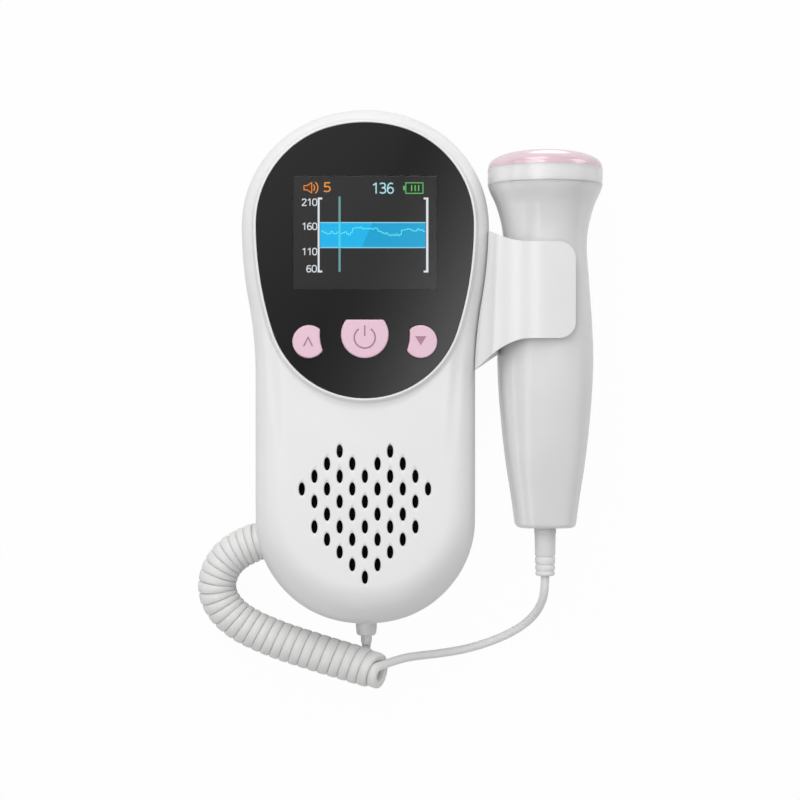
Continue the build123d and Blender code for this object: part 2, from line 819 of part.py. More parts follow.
collar_foot_y = plug_face_y - plug_collar_length
neck_foot_y = collar_foot_y - plug_neck_length
with BuildPart() as plug:
    with BuildSketch(Plane.XY.offset(jack_z)):
        with BuildLine():
            Polyline(
                (0, plug_face_y),
                (plug_collar_radius, plug_face_y),
                (plug_collar_radius - plug_collar_draft, collar_foot_y + plug_collar_draft),
                (plug_collar_radius - 2 * plug_collar_draft, collar_foot_y),
                (plug_neck_radius, collar_foot_y),
                (plug_neck_radius, neck_foot_y),
                (lead_radius, plug_foot_y),
                (0, plug_foot_y),
                close=True,
            )
        make_face()
    revolve(axis=Axis((0, 0, jack_z), (0, 1, 0)))
save(plug.part, "cord_plug")

# ---------------------------------------------------------------- probe holder

holder_low_z = probe_z - holder_half_gap - holder_wall
holder_high_z = probe_z + holder_half_gap + holder_wall
holder_end_x = probe_x + holder_reach
holder_root_x = foot_half_width - wall
holder_slope_x = holder_crease_x - holder_slope_width

# Seen along Y the holder is a C that opens away from the case, with its outer corners cut back to the case's side.
with BuildPart() as holder_c:
    with BuildSketch(Plane.XZ.offset(-holder_top_y - holder_flare_top)):
        with BuildLine():
            FilletPolyline(
                (holder_end_x, holder_low_z),
                (holder_crease_x, holder_low_z),
                (holder_slope_x, holder_low_z + holder_slope_height),
                (holder_slope_x, holder_high_z - holder_slope_height),
                (holder_crease_x, holder_high_z),
                (holder_end_x, holder_high_z),
                radius=holder_crease_round,
            )
            Line((holder_end_x, holder_high_z), (holder_end_x, holder_high_z - holder_wall))
            FilletPolyline(
                (holder_end_x, holder_high_z - holder_wall),
                (holder_spine_x, holder_high_z - holder_wall),
                (holder_spine_x, holder_low_z + holder_wall),
                (holder_end_x, holder_low_z + holder_wall),
                radius=holder_inner_bend,
            )
            Line((holder_end_x, holder_low_z + holder_wall), (holder_end_x, holder_low_z))
        make_face()
    extrude(amount=holder_top_y - holder_foot_y + holder_flare_top + holder_flare_foot)

# Seen along Z it flares towards the case and its free corners are round.
flare_x = holder_spine_x + holder_flare_length
with BuildPart() as probe_holder:
    with BuildSketch(Plane.XY):
        with BuildLine():
            Spline(
                (holder_root_x, holder_top_y + holder_flare_top),
                (flare_x, holder_top_y),
                tangents=((1, -0.55), (1, 0)),
            )
            FilletPolyline(
                (flare_x, holder_top_y),
                (holder_end_x, holder_top_y),
                (holder_end_x, holder_foot_y),
                (flare_x, holder_foot_y),
                radius=holder_corner,
            )
            Spline(
                (flare_x, holder_foot_y),
                (holder_root_x, holder_foot_y - holder_flare_foot),
                tangents=((-1, 0), (-1, -0.9)),
            )
            Line(
                (holder_root_x, holder_foot_y - holder_flare_foot),
                (holder_root_x, holder_top_y + holder_flare_top),
            )
        make_face()
    extrude(amount=holder_high_z + overrun)
    add(holder_c.part, mode=Mode.INTERSECT)
    with BuildSketch(Plane.XY):
        add(case_outline(-holder_gap))
    extrude(amount=holder_high_z + overrun, mode=Mode.SUBTRACT)
    with BuildSketch(Plane.YZ.offset(holder_root_x)):
        with Locations(*[(y, holder_screw_z) for y in holder_screw_spots]):
            Circle(holder_screw_radius + screw_gap)
    extrude(amount=holder_spine_x - holder_skin / 2 - holder_root_x, mode=Mode.SUBTRACT)
save(probe_holder.part, "probe_holder")

with BuildPart() as holder_screws:
    for y in holder_screw_spots:
        inner_wall_x = cheek_half_width(y) - wall - hole_gap
        with BuildSketch(Plane.YZ.offset(inner_wall_x)):
            with Locations((y, holder_screw_z)):
                Circle(holder_screw_head_radius)
        extrude(amount=-holder_screw_head_height)
        with BuildSketch(Plane.YZ.offset(inner_wall_x)):
            with Locations((y, holder_screw_z)):
                Circle(holder_screw_radius)
        extrude(amount=holder_spine_x - holder_skin - inner_wall_x)
save(holder_screws.part, "holder_screws")

# ---------------------------------------------------------------- probe


def probe_plane(y):
    """A plane across the probe at height y, centred on its axis."""
    return Plane((probe_x, y, probe_z), (1, 0, 0), (0, 1, 0))


def probe_form(inset, lift):
    """The handle as one smooth solid, drawn in by inset, with its lowest section raised by lift."""
    with BuildPart() as form:
        for below, half_width, half_depth, squareness in probe_sections:
            raised = lift if below == probe_sections[-1][0] else 0
            outline = []
            for step in range(section_points):
                angle = 2 * pi * step / section_points - pi / 2
                across = copysign(abs(cos(angle)) ** (2 / squareness), cos(angle))
                deep = copysign(abs(sin(angle)) ** (2 / squareness), sin(angle))
                outline.append(((half_width - inset) * across, (half_depth - inset) * deep))
            with BuildSketch(probe_plane(probe_seam_y - below + raised)):
                with BuildLine():
                    Spline(*outline, periodic=True)
                make_face()
        loft()
    return form.part


relief_axis = Axis((probe_x, 0, probe_z), (0, 1, 0))
with BuildPart() as handle:
    add(probe_form(0, 0))
    fillet(handle.faces().sort_by(Axis.Y)[0].edges(), radius=probe_foot_round)
    add(probe_form(probe_wall, probe_wall), mode=Mode.SUBTRACT)
    with BuildSketch(probe_plane(probe_foot_y - overrun)):
        Circle(relief_stem_radius + screw_gap)
    extrude(amount=probe_wall + 2 * overrun, mode=Mode.SUBTRACT)

for name, kept in (("probe_front_shell", Keep.TOP), ("probe_back_shell", Keep.BOTTOM)):
    with BuildPart() as half:
        add(handle.part)
        split(bisect_by=Plane.XY.offset(probe_z), keep=kept)
    save(half.part, name)

with BuildPart() as head_ring:
    with BuildSketch(probe_plane(probe_seam_y)):
        Circle(head_radius)
        Circle(head_radius - head_ring_wall, mode=Mode.SUBTRACT)
    extrude(amount=head_ring_height)
save(head_ring.part, "probe_head_ring")

spigot_radius = head_radius - head_ring_wall - spigot_gap
with BuildPart() as face:
    with BuildSketch(Plane.XY.offset(probe_z)):
        with BuildLine():
            Polyline(
                (probe_x, seam_to_dome + dome_rise),
                (probe_x, seam_to_dome - spigot_depth),
                (probe_x + spigot_radius, seam_to_dome - spigot_depth),
                (probe_x + spigot_radius, seam_to_dome),
                (probe_x + head_radius - dome_inset, seam_to_dome),
            )
            Spline(
                (probe_x + head_radius - dome_inset, seam_to_dome),
                (probe_x + head_radius * dome_shoulder, seam_to_dome + dome_shoulder_rise),
                (probe_x, seam_to_dome + dome_rise),
                tangents=((0, 1), (-1, 0)),
            )
        make_face()
    revolve(axis=relief_axis)
save(face.part, "transducer_face")

crystal_top_y = seam_to_dome - spigot_depth
with BuildPart() as crystals:
    with BuildSketch(probe_plane(crystal_top_y - crystal_thickness)):
        Circle(crystal_radius)
        Rectangle(crystal_slit, 3 * crystal_radius, mode=Mode.SUBTRACT)
    extrude(amount=crystal_thickness)
save(crystals.part, "piezo_crystals")

with BuildPart() as backing:
    with BuildSketch(probe_plane(crystal_top_y - crystal_thickness - backing_thickness)):
        Circle(crystal_radius)
    extrude(amount=backing_thickness)
save(backing.part, "crystal_backing")

with BuildPart() as probe_board:
    with BuildSketch(Plane.XY.offset(probe_z - probe_board_thickness / 2)):
        with Locations((probe_x, probe_board_foot_y + probe_board_length / 2)):
            Rectangle(probe_board_width, probe_board_length)
    extrude(amount=probe_board_thickness)
save(probe_board.part, "probe_board")

# ---------------------------------------------------------------- strain relief


def relief_radius_at(below):
    """Outer radius of the tapered sleeve at a distance below the collar's top."""
    return relief_radius - (relief_radius - relief_tip_radius) * below / relief_length


relief_profile = [
    (0, probe_foot_y + probe_wall + relief_flange),
    (relief_flange_radius, probe_foot_y + probe_wall + relief_flange),
    (relief_flange_radius, probe_foot_y + probe_wall),
    (relief_stem_radius, probe_foot_y + probe_wall),
    (relief_stem_radius, probe_foot_y),
    (relief_radius, probe_foot_y),
    (relief_radius, probe_foot_y - relief_collar),
]
for groove in relief_grooves:
    groove_radius = relief_radius_at(groove) - relief_groove
    relief_profile.append((groove_radius + relief_groove, probe_foot_y - groove + relief_groove_width / 2))
    relief_profile.append((groove_radius, probe_foot_y - groove + relief_groove_width / 4))
    relief_profile.append((groove_radius, probe_foot_y - groove - relief_groove_width / 4))
    relief_profile.append((groove_radius + relief_groove, probe_foot_y - groove - relief_groove_width / 2))
relief_profile.append((relief_tip_radius, relief_tip_y + relief_tip_length))
relief_profile.append((relief_tip_radius - relief_tip_step, relief_tip_y))
relief_profile.append((0, relief_tip_y))

with BuildPart() as relief:
    with BuildSketch(Plane.XY.offset(probe_z)):
        with BuildLine():
            Polyline(*[(probe_x + r, y) for r, y in relief_profile], close=True)
        make_face()
    revolve(axis=relief_axis)
save(relief.part, "strain_relief")

# ---------------------------------------------------------------- cords


def corner_radii(points):
    """For each inner point of a route, the arc that fills most of the shorter run beside it."""
    radii = []
    for before, here, after in zip(points, points[1:], points[2:]):
        run_in = Vector(*here) - Vector(*before)
        run_out = Vector(*after) - Vector(*here)
        half_turn = radians(run_in.get_angle(run_out)) / 2
        radii.append(run_share * min(run_in.length, run_out.length) / tan(half_turn))
    return radii


def cord_tube(name, points, radius):
    """A tube along straight runs and tangent arcs, written as one piece."""
    radii = corner_radii(points)
    with BuildPart() as tube:
        with BuildLine() as route:
            FilletPolyline(*points, radius=radii)
        start = Vector(*points[0])
        ahead = Vector(*points[1]) - start
        with BuildSketch(Plane(start, z_dir=ahead)):
            Circle(radius)
        sweep()
    length = sum(edge.length for edge in route.edges())
    expected = length * pi * radius**2
    print(name, "length", round(length, 1), "volume over section x length", round(tube.part.volume / expected, 4))
    print("  radii", [round(r, 1) for r in radii])
    save(tube.part, name)


# The curly cord lies beside the foot of the case, on the lead of its own plug, and its free end tips up.
curly_route = (
    (-31.3, -50.8, 8.8),
    (-38.0, -53.2, 8.7),
    (-43.2, -58.8, 8.7),
    (-44.6, -66.4, 8.7),
    (-39.4, -74.0, 8.7),
    (-28.0, -79.6, 8.9),
    (-13.8, -84.0, 10.2),
    (-2.0, -87.4, 10.9),
    (5.2, -89.5, 12.9),
)
cord_tube("curly_cord", curly_route, coil_radius)

# The plug's lead dips to the table, runs back under the curly cord and comes up at its far end.
plug_lead_route = (
    (0.0, plug_foot_y, jack_z),
    (0.0, plug_foot_y - 1.9, jack_z),
    (-0.6, plug_foot_y - 4.6, 2.8),
    (-4.4, plug_foot_y - 7.2, 1.35),
    (-12.6, -87.0, 1.3),
    (-26.4, -82.0, 1.35),
    (-38.6, -76.2, 1.3),
    (-43.4, -67.4, 1.35),
    (-42.2, -59.4, 1.3),
    (-37.6, -53.6, 1.4),
)
cord_tube("plug_lead", plug_lead_route, lead_radius)

# The probe's lead drops from the strain relief to the table and climbs to the back of the curly cord's last turn.
probe_lead_route = (
    (probe_x, relief_tip_y, probe_z),
    (probe_x, relief_tip_y - 4.4, probe_z),
    (51.2, -70.4, 11.6),
    (47.6, -75.8, 5.0),
    (40.6, -80.3, 1.7),
    (31.0, -83.6, 1.35),
    (22.4, -85.0, 2.1),
    (15.0, -85.2, 6.6),
    (7.3, -85.9, 10.4),
)
cord_tube("probe_lead", probe_lead_route, lead_radius)
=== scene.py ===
"""Fetal doppler monitor: a hand-held unit on its back, its probe in a side holder, and their curly cord."""
from math import acos, atan, atan2, copysign, cos, degrees, exp, log, pi, radians, sin, sqrt

import bmesh
import bpy
import numpy as np
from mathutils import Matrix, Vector


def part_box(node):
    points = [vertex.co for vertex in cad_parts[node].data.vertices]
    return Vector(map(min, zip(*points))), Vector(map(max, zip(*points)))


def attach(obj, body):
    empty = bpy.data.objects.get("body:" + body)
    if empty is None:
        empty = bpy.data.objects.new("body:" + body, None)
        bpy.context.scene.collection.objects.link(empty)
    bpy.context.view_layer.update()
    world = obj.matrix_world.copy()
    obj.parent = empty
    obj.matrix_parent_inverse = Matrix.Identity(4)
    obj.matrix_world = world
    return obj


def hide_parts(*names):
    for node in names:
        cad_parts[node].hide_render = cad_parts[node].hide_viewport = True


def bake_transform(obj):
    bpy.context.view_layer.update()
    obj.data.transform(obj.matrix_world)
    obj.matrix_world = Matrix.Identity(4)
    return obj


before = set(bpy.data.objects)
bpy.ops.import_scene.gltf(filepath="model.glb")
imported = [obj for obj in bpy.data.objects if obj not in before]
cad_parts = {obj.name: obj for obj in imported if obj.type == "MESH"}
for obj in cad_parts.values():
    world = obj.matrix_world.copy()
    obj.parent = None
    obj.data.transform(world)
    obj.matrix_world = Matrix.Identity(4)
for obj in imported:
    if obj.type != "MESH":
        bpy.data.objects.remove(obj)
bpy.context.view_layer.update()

# ---------------------------------------------------------------- camera
# The unit lies on a table and is seen from straight above, from a little over half a metre.
millimetre = 0.001
camera_place = (10.0, -9.3, 600.0)
camera_data = bpy.data.cameras.new("camera")
camera_data.lens = 90
camera_data.sensor_width = 36
camera = bpy.data.objects.new("camera", camera_data)
camera.location = [side * millimetre for side in camera_place]
bpy.context.collection.objects.link(camera)
bpy.context.scene.camera = camera

# ---------------------------------------------------------------- cord
# One soft vinyl lead: straight out of the probe's sleeve, wound into a close curl of flat turns, and straight
# again under the curl to the plug in the foot of the case. It is extruded, then wound and set with heat.
lead_radius = 1.25
coil_radius = 4.4
coil_pitch_at_free_end = 3.35
coil_pitch_at_case = 2.05
turn_fill = 0.51
turn_squareness = 3.8
end_lean = 0.32
end_lean_length = 6.0
end_tuck = 1.8
end_tuck_length = 1.9
samples_a_turn = 36
cord_sides = 16
lead_spacing = 0.7
core_spacing = 0.1
joint_spacing = 0.6
joint_reach = 7.0
joint_passes = 90
ease_length = 12.0
probe_lead_points = (
    (52.3, -60.5, 17.0),
    (52.3, -64.9, 17.0),
    (51.2, -70.4, 11.6),
    (47.6, -75.8, 5.0),
    (40.6, -80.3, 1.7),
    (31.0, -83.6, 1.35),
    (22.4, -85.0, 2.1),
    (15.0, -85.2, 6.6),
    (7.3, -85.9, 10.4),
)
curl_points = (
    (5.2, -89.5, 12.9),
    (-2.0, -87.4, 10.9),
    (-13.8, -84.0, 10.2),
    (-28.0, -79.6, 8.9),
    (-39.4, -74.0, 8.7),
    (-44.6, -66.4, 8.7),
    (-43.2, -58.8, 8.7),
    (-38.0, -53.2, 8.7),
    (-31.3, -50.8, 8.8),
)
plug_lead_points = (
    (-32.9, -46.3, 8.8),
    (-33.1, -46.5, 1.6),
    (-37.6, -53.6, 1.4),
    (-42.2, -59.4, 1.3),
    (-43.4, -67.4, 1.35),
    (-38.6, -76.2, 1.3),
    (-26.4, -82.0, 1.35),
    (-12.6, -87.0, 1.3),
    (-4.4, -89.35, 1.35),
    (-0.6, -86.75, 2.8),
    (0.0, -84.05, 5.4),
    (0.0, -82.15, 5.4),
)


def unit(vector):
    """The vector with a length of one."""
    return np.asarray(vector, float) / np.linalg.norm(vector)


def run_along(line):
    """How far each point of the line is along it from its start."""
    return np.concatenate(([0.0], np.cumsum(np.linalg.norm(np.diff(line, axis=0), axis=1))))


def evenly(line, spacing):
    """Points along the line, as near to the spacing apart as fits a whole number of steps."""
    along = run_along(line)
    steps = max(2, round(along[-1] / spacing))
    stops = np.linspace(0.0, along[-1], steps + 1)
    return np.column_stack([np.interp(stops, along, line[:, axis]) for axis in range(3)])


def smooth_route(name, points, spacing):
    """Evenly spaced points on the smooth line that has the given points as its control points."""
    curve = bpy.data.curves.new(name, "CURVE")
    curve.dimensions = "3D"
    curve.resolution_u = 32
    spline = curve.splines.new("NURBS")
    spline.points.add(len(points) - 1)
    for control, place in zip(spline.points, points):
        control.co = (*place, 1.0)
    spline.order_u = 3
    spline.use_endpoint_u = True
    drawn = bpy.data.objects.new(name, curve)
    bpy.context.collection.objects.link(drawn)
    bpy.context.view_layer.update()
    line_mesh = bpy.data.meshes.new_from_object(drawn)
    line = np.array([vertex.co[:] for vertex in line_mesh.vertices])
    bpy.data.objects.remove(drawn)
    bpy.data.meshes.remove(line_mesh)
    return evenly(line, spacing)


def headings(line):
    """The direction of the line at each of its points."""
    ahead = np.gradient(line, axis=0)
    return ahead / np.linalg.norm(ahead, axis=1)[:, None]


def carried(side, directions):
    """A sideways direction carried along the line without twisting, one for each heading."""
    sides = []
    for direction in directions:
        side = unit(side - direction * np.dot(side, direction))
        sides.append(side)
    return np.array(sides)


def eased_joint(first, second):
    """The run where two lines meet, with its corner worn round, and how many points of each line it takes."""
    taken_first = int(round(joint_reach / np.linalg.norm(first[-1] - first[-2])))
    taken_second = int(round(joint_reach / np.linalg.norm(second[1] - second[0])))
    run = evenly(np.vstack((first[-taken_first:], second[:taken_second])), joint_spacing)
    for _ in range(joint_passes):
        run[2:-2] += 0.5 * ((run[1:-3] + run[3:-1]) / 2 - run[2:-2])
    return run, taken_first, taken_second


probe_lead_line = smooth_route("probe_lead_route", probe_lead_points, lead_spacing)
plug_lead_line = smooth_route("plug_lead_route", plug_lead_points, lead_spacing)
core = smooth_route("curl_route", curl_points, core_spacing)
core_ahead = headings(core)
first_side = probe_lead_line[-1] - core[0]
core_side = carried(first_side, core_ahead)
core_length = core_spacing * (len(core) - 1)

# The curl is wound right-handed, with its pitch changing evenly from one end to the other. Its last turn ends
# on the outer side, where the lead drops to the table.
pitch_change = coil_pitch_at_case - coil_pitch_at_free_end
natural_turning = 2 * pi * core_length / pitch_change * log(coil_pitch_at_case / coil_pitch_at_free_end)
last_across = np.cross(core_ahead[-1], core_side[-1])
last_side = unit(np.cross((0.0, 0.0, 1.0), core_ahead[-1]))
last_angle = -atan2(np.dot(last_side, last_across), np.dot(last_side, core_side[-1]))
whole_turns = round((natural_turning - last_angle) / (2 * pi))
turning = last_angle + 2 * pi * whole_turns
turn_steps = int(turning / (2 * pi) * samples_a_turn)

# At its free end the turns lean over, and the first one is drawn in towards the middle of the curl.
coil_line = []
coil_side = []
for step in range(turn_steps + 1):
    angle = turning * step / turn_steps
    natural_angle = natural_turning * step / turn_steps
    growth = exp(natural_angle * pitch_change / (2 * pi * core_length))
    stop = core_length / pitch_change * coil_pitch_at_free_end * (growth - 1)
    near = min(len(core) - 1, max(0, stop / core_length * (len(core) - 1)))
    lower = min(int(near), len(core) - 2)
    share = near - lower
    middle = core[lower] * (1 - share) + core[lower + 1] * share
    ahead = unit(core_ahead[lower] * (1 - share) + core_ahead[lower + 1] * share)
    side = unit(core_side[lower] * (1 - share) + core_side[lower + 1] * share)
    outward = cos(angle) * side - sin(angle) * np.cross(ahead, side)
    lean = end_lean * exp(-stop / end_lean_length) * outward[2]
    reach = coil_radius - end_tuck * exp(-stop / end_tuck_length)
    coil_line.append(middle + reach * outward + coil_radius * lean * ahead)
    coil_side.append(outward)
coil_line = np.array(coil_line)

# Each turn is as broad as the room that the turns before and after it leave.
turn_gaps = np.linalg.norm(coil_line[samples_a_turn:] - coil_line[:-samples_a_turn], axis=1)
gap_before = np.concatenate((turn_gaps[:samples_a_turn], turn_gaps))
gap_after = np.concatenate((turn_gaps, turn_gaps[-samples_a_turn:]))
turn_room = (gap_before + gap_after) / 2

upper_joint, upper_lead, upper_coil = eased_joint(probe_lead_line, coil_line)
lower_joint, lower_coil, lower_lead = eased_joint(coil_line, plug_lead_line)
cord_line = np.vstack(
    (
        probe_lead_line[:-upper_lead],
        upper_joint,
        coil_line[upper_coil:-lower_coil],
        lower_joint,
        plug_lead_line[lower_lead:],
    )
)
coil_first = len(probe_lead_line) - upper_lead + len(upper_joint)
coil_last = coil_first + len(coil_line) - upper_coil - lower_coil - 1
cord_ahead = headings(cord_line)
kept_sides = np.array(coil_side[upper_coil : len(coil_side) - lower_coil])
before_sides = carried(kept_sides[0], cord_ahead[coil_first - 1 :: -1])[::-1]
after_sides = carried(kept_sides[-1], cord_ahead[coil_last + 1 :])
cord_side = np.vstack((before_sides, kept_sides, after_sides))
cord_along = run_along(cord_line)


def piece_of(name, points, faces):
    """A new piece whose mesh has these points, given in millimetres, with its faces turned outwards."""
    mesh = bpy.data.meshes.new(name)
    mesh.from_pydata([tuple(side * millimetre for side in point) for point in points], [], faces)
    shape = bmesh.new()
    shape.from_mesh(mesh)
    bmesh.ops.recalc_face_normals(shape, faces=shape.faces)
    shape.to_mesh(mesh)
    shape.free()
    made = bpy.data.objects.new(name, mesh)
    bpy.context.collection.objects.link(made)
    return made


def smoothed(piece, sharpest=40):
    """Smooth shading, with edges kept where the surface turns by more than the angle."""
    for face in piece.data.polygons:
        face.use_smooth = True
    piece.data.set_sharp_from_angle(angle=radians(sharpest))
    return piece


def skin(name, rings, ends=True):
    """A skin over rings of equal count, closed by a flat face at both ends, or joined end to end."""
    size = len(rings[0])
    count = len(rings)
    points = [point for ring in rings for point in ring]
    faces = []
    for level in range(count - 1 if ends else count):
        here = level * size
        above = (level + 1) % count * size
        for step in range(size):
            ahead = (step + 1) % size
            faces.append((here + step, here + ahead, above + ahead, above + step))
    if ends:
        faces.append(tuple(range(size))[::-1])
        faces.append(tuple(range(len(points) - size, len(points))))
    return smoothed(piece_of(name, points, faces))


def squared(angle, squareness):
    """A point of a rounded square one unit in radius: 2 is a circle, and more is squarer."""
    across = copysign(abs(cos(angle)) ** (2 / squareness), cos(angle))
    up = copysign(abs(sin(angle)) ** (2 / squareness), sin(angle))
    return across, up


# On the leads the section is round, and in the curl it is flattened against its neighbours.
cord_rings = []
for number, (middle, ahead, side) in enumerate(zip(cord_line, cord_ahead, cord_side)):
    into_curl = cord_along[number] - cord_along[coil_first] + ease_length / 2
    out_of_curl = cord_along[coil_last] - cord_along[number] + ease_length / 2
    curled = min(1.0, max(0.0, min(into_curl, out_of_curl) / ease_length))
    curled = curled * curled * (3 - 2 * curled)
    nearest = min(len(turn_room) - 1, max(0, number - coil_first + upper_coil))
    broad = lead_radius + curled * (turn_fill * turn_room[nearest] - lead_radius)
    squareness = 2 + curled * (turn_squareness - 2)
    side = unit(side - ahead * np.dot(side, ahead))
    across = np.cross(ahead, side)
    ring = []
    for step in range(cord_sides):
        deep, wide = squared(2 * pi * step / cord_sides, squareness)
        ring.append(middle + lead_radius * deep * side + broad * wide * across)
    cord_rings.append(ring)
cord = skin("cord", cord_rings)


class Reading:
    """A number, colour, vector or shape on its way from a node, with Python's arithmetic for numbers."""

    def __init__(self, bench, socket):
        self.bench = bench
        self.socket = socket

    def worked(self, operation, first, second):
        return self.bench.node("ShaderNodeMath", {"operation": operation}, {0: first, 1: second})

    def __add__(self, other):
        return self.worked("ADD", self, other)

    __radd__ = __add__

    def __sub__(self, other):
        return self.worked("SUBTRACT", self, other)

    def __rsub__(self, other):
        return self.worked("SUBTRACT", other, self)

    def __mul__(self, other):
        return self.worked("MULTIPLY", self, other)

    __rmul__ = __mul__

    def __truediv__(self, other):
        return self.worked("DIVIDE", self, other)

    def __gt__(self, other):
        return self.worked("GREATER_THAN", self, other)

    def __lt__(self, other):
        return self.worked("LESS_THAN", self, other)


class Bench:
    """A node tree whose nodes are added one at a time."""

    def __init__(self, tree):
        self.tree = tree

    def node(self, kind, settings, sockets, output=0):
        """Adds a node: its settings first, then a value or a link for each socket named."""
        added = self.tree.nodes.new(kind)
        for setting, value in settings.items():
            setattr(added, setting, value)
        for name, value in sockets.items():
            if isinstance(value, Reading):
                self.tree.links.new(value.socket, added.inputs[name])
            else:
                added.inputs[name].default_value = value
        return Reading(self, added.outputs[output])


class Finish(Bench):
    """The nodes of one material, or of the world's light."""

    def __init__(self, owner):
        owner.use_nodes = True
        owner.node_tree.nodes.clear()
        super().__init__(owner.node_tree)
        self.owner = owner

    def mixed(self, share, first, second):
        """One colour turning into another."""
        return self.node("ShaderNodeMix", {"data_type": "RGBA"}, {0: share, 6: first, 7: second}, 2)

    def place(self):
        """Where the surface point is on the piece."""
        return self.node("ShaderNodeTexCoord", {}, {}, "Object")

    def along(self, axis):
        """How far the surface point is from the origin along X, Y or Z, in metres."""
        return self.node("ShaderNodeSeparateXYZ", {}, {0: self.place()}, axis)

    def noise(self, scale, detail=2.0, place=None):
        """Cloudy noise from 0 to 1, so many clouds to the metre."""
        sockets = {"Vector": place or self.place(), "Scale": scale, "Detail": detail}
        return self.node("ShaderNodeTexNoise", {}, sockets, "Fac")

    def waves(self, scale, way):
        """Soft stripes from 0 to 1 that follow each other along X or Y."""
        sockets = {"Vector": self.place(), "Scale": scale}
        return self.node("ShaderNodeTexWave", {"bands_direction": way}, sockets, "Fac")

    def bump(self, height, distance):
        """The tilt of a surface that is raised by height times distance, in metres."""
        sockets = {"Height": height, "Strength": 1.0, "Distance": distance}
        return self.node("ShaderNodeBump", {}, sockets, "Normal")

    def surface(self, sockets):
        """The shader that all of it feeds, joined to the material's output."""
        return self.shown(self.node("ShaderNodeBsdfPrincipled", {}, sockets, "BSDF"))

    def shown(self, shader):
        """Joins a shader to the output, and gives the finished material or world."""
        world = isinstance(self.owner, bpy.types.World)
        output = self.tree.nodes.new("ShaderNodeOutputWorld" if world else "ShaderNodeOutputMaterial")
        self.tree.links.new(shader.socket, output.inputs["Surface"])
        return self.owner


def paint(red, green, blue, share=1.0):
    """A colour given as it shows on a screen, from 0 to 255, lightened or darkened by a share."""
    values = []
    for value in (red, green, blue):
        part = value / 255
        straight = part / 12.92 if part <= 0.04045 else ((part + 0.055) / 1.055) ** 2.4
        values.append(min(1.0, straight * share))
    return (*values, 1.0)


def moulded(name, colour, roughness, grain=0.00002, mottle=0.03, others=None):
    """Injection-moulded plastic or rubber: a faint mottle in colour and gloss, and a fine grain."""
    finish = Finish(bpy.data.materials.new(name))
    place = finish.place()
    cloud = finish.noise(60.0, 3.0, place)
    speck = finish.noise(2600.0, 2.0, place)
    sockets = {
        "Base Color": finish.mixed(cloud, paint(*colour, 1 - mottle), paint(*colour, 1 + mottle)),
        "Roughness": cloud * 0.08 + (roughness - 0.04),
        "Normal": finish.bump(speck, grain),
    }
    sockets.update(others or {})
    return finish.surface(sockets)


def coat(piece, material):
    """Gives a piece its one material."""
    piece.data.materials.clear()
    piece.data.materials.append(material)


milky = {"Subsurface Weight": 0.7, "Subsurface Radius": (1.0, 1.0, 1.0), "Subsurface Scale": 0.0025}
coat(cord, moulded("cord_vinyl", (231, 231, 230), 0.42, 0.00001, others=milky))
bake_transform(cord)
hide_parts("probe_lead", "curly_cord", "plug_lead")

# ---------------------------------------------------------------- plug
# A moulded vinyl body with a short neck, and a nickel-plated pin that is pushed into the foot of the case.
plug_z = 5.4
plug_face_y = -74.55
plug_profile = (
    (0.0, 0.0),
    (2.85, 0.0),
    (3.1, 0.25),
    (3.12, 2.0),
    (2.95, 3.8),
    (2.7, 4.35),
    (2.3, 4.6),
    (1.75, 4.65),
    (1.65, 4.8),
    (1.62, 6.4),
    (1.3, 7.55),
    (0.0, 7.6),
)


def turned(name, profile, middle, steps, closed=False):
    """A shape turned about an axis along Y: pairs of radius and height, through middle, an X and a Z."""
    rings = []
    for radius, height in profile:
        ring = []
        for step in range(steps):
            angle = 2 * pi * step / steps
            reach = max(radius, 0.0005)
            ring.append((middle[0] + reach * cos(angle), height, middle[1] + reach * sin(angle)))
        rings.append(ring)
    return skin(name, rings, ends=not closed)


plug = turned("plug_body", [(radius, plug_face_y - down) for radius, down in plug_profile], (0.0, plug_z), 48)
coat(plug, moulded("plug_vinyl", (236, 236, 236), 0.4, 0.00001, others=milky))
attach(plug, "case")
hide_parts("cord_plug")


def dressed(node, material):
    """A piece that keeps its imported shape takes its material."""
    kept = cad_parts[node]
    coat(kept, material)
    return kept


def metal(name, colour, roughness, brush=0.0):
    """Bare or plated metal: small uneven gloss, and fine scratches where it is brushed."""
    finish = Finish(bpy.data.materials.new(name))
    place = finish.place()
    cloud = finish.noise(300.0, 3.0, place)
    stretched = finish.node("ShaderNodeMapping", {}, {"Vector": place, "Scale": (400.0, 9000.0, 9000.0)})
    scratch = finish.noise(1.0, 2.0, stretched)
    return finish.surface(
        {
            "Base Color": finish.mixed(cloud, paint(*colour, 0.92), paint(*colour)),
            "Metallic": 1.0,
            "Roughness": cloud * 0.15 + (roughness - 0.07),
            "Normal": finish.bump(scratch, 0.000002 + brush),
        }
    )


plug_pin = dressed("plug_pin", metal("plated_pin", (205, 203, 198), 0.22))

# ---------------------------------------------------------------- table and light
# A plain white table top under an even sky and six soft lamps. What is glossy mirrors the table half lit,
# and a small patch of it past the probe's head glows only in reflections, a painted highlight on the dome.
table_half = 3.0
glow_patch_middle = (0.056, 0.1)
glow_patch_half = (0.013, 0.02)
glow_patch_level = 1.15
white_seen = 0.975
white_mirrored = 0.5
table_mesh = bpy.data.meshes.new("table_top")
table_corners = [(x * table_half, y * table_half, 0.0) for x, y in ((-1, -1), (1, -1), (1, 1), (-1, 1))]
table_mesh.from_pydata(table_corners, [], [(0, 1, 2, 3)])
table_top = bpy.data.objects.new("table_top", table_mesh)
bpy.context.collection.objects.link(table_top)
table_finish = Finish(bpy.data.materials.new("white_table"))
table_colour = table_finish.mixed(table_finish.noise(3.0), paint(206, 206, 206), paint(210, 210, 210))
table_paint = table_finish.node("ShaderNodeBsdfDiffuse", {}, {"Color": table_colour})
seen = table_finish.node("ShaderNodeLightPath", {}, {}, "Is Camera Ray")
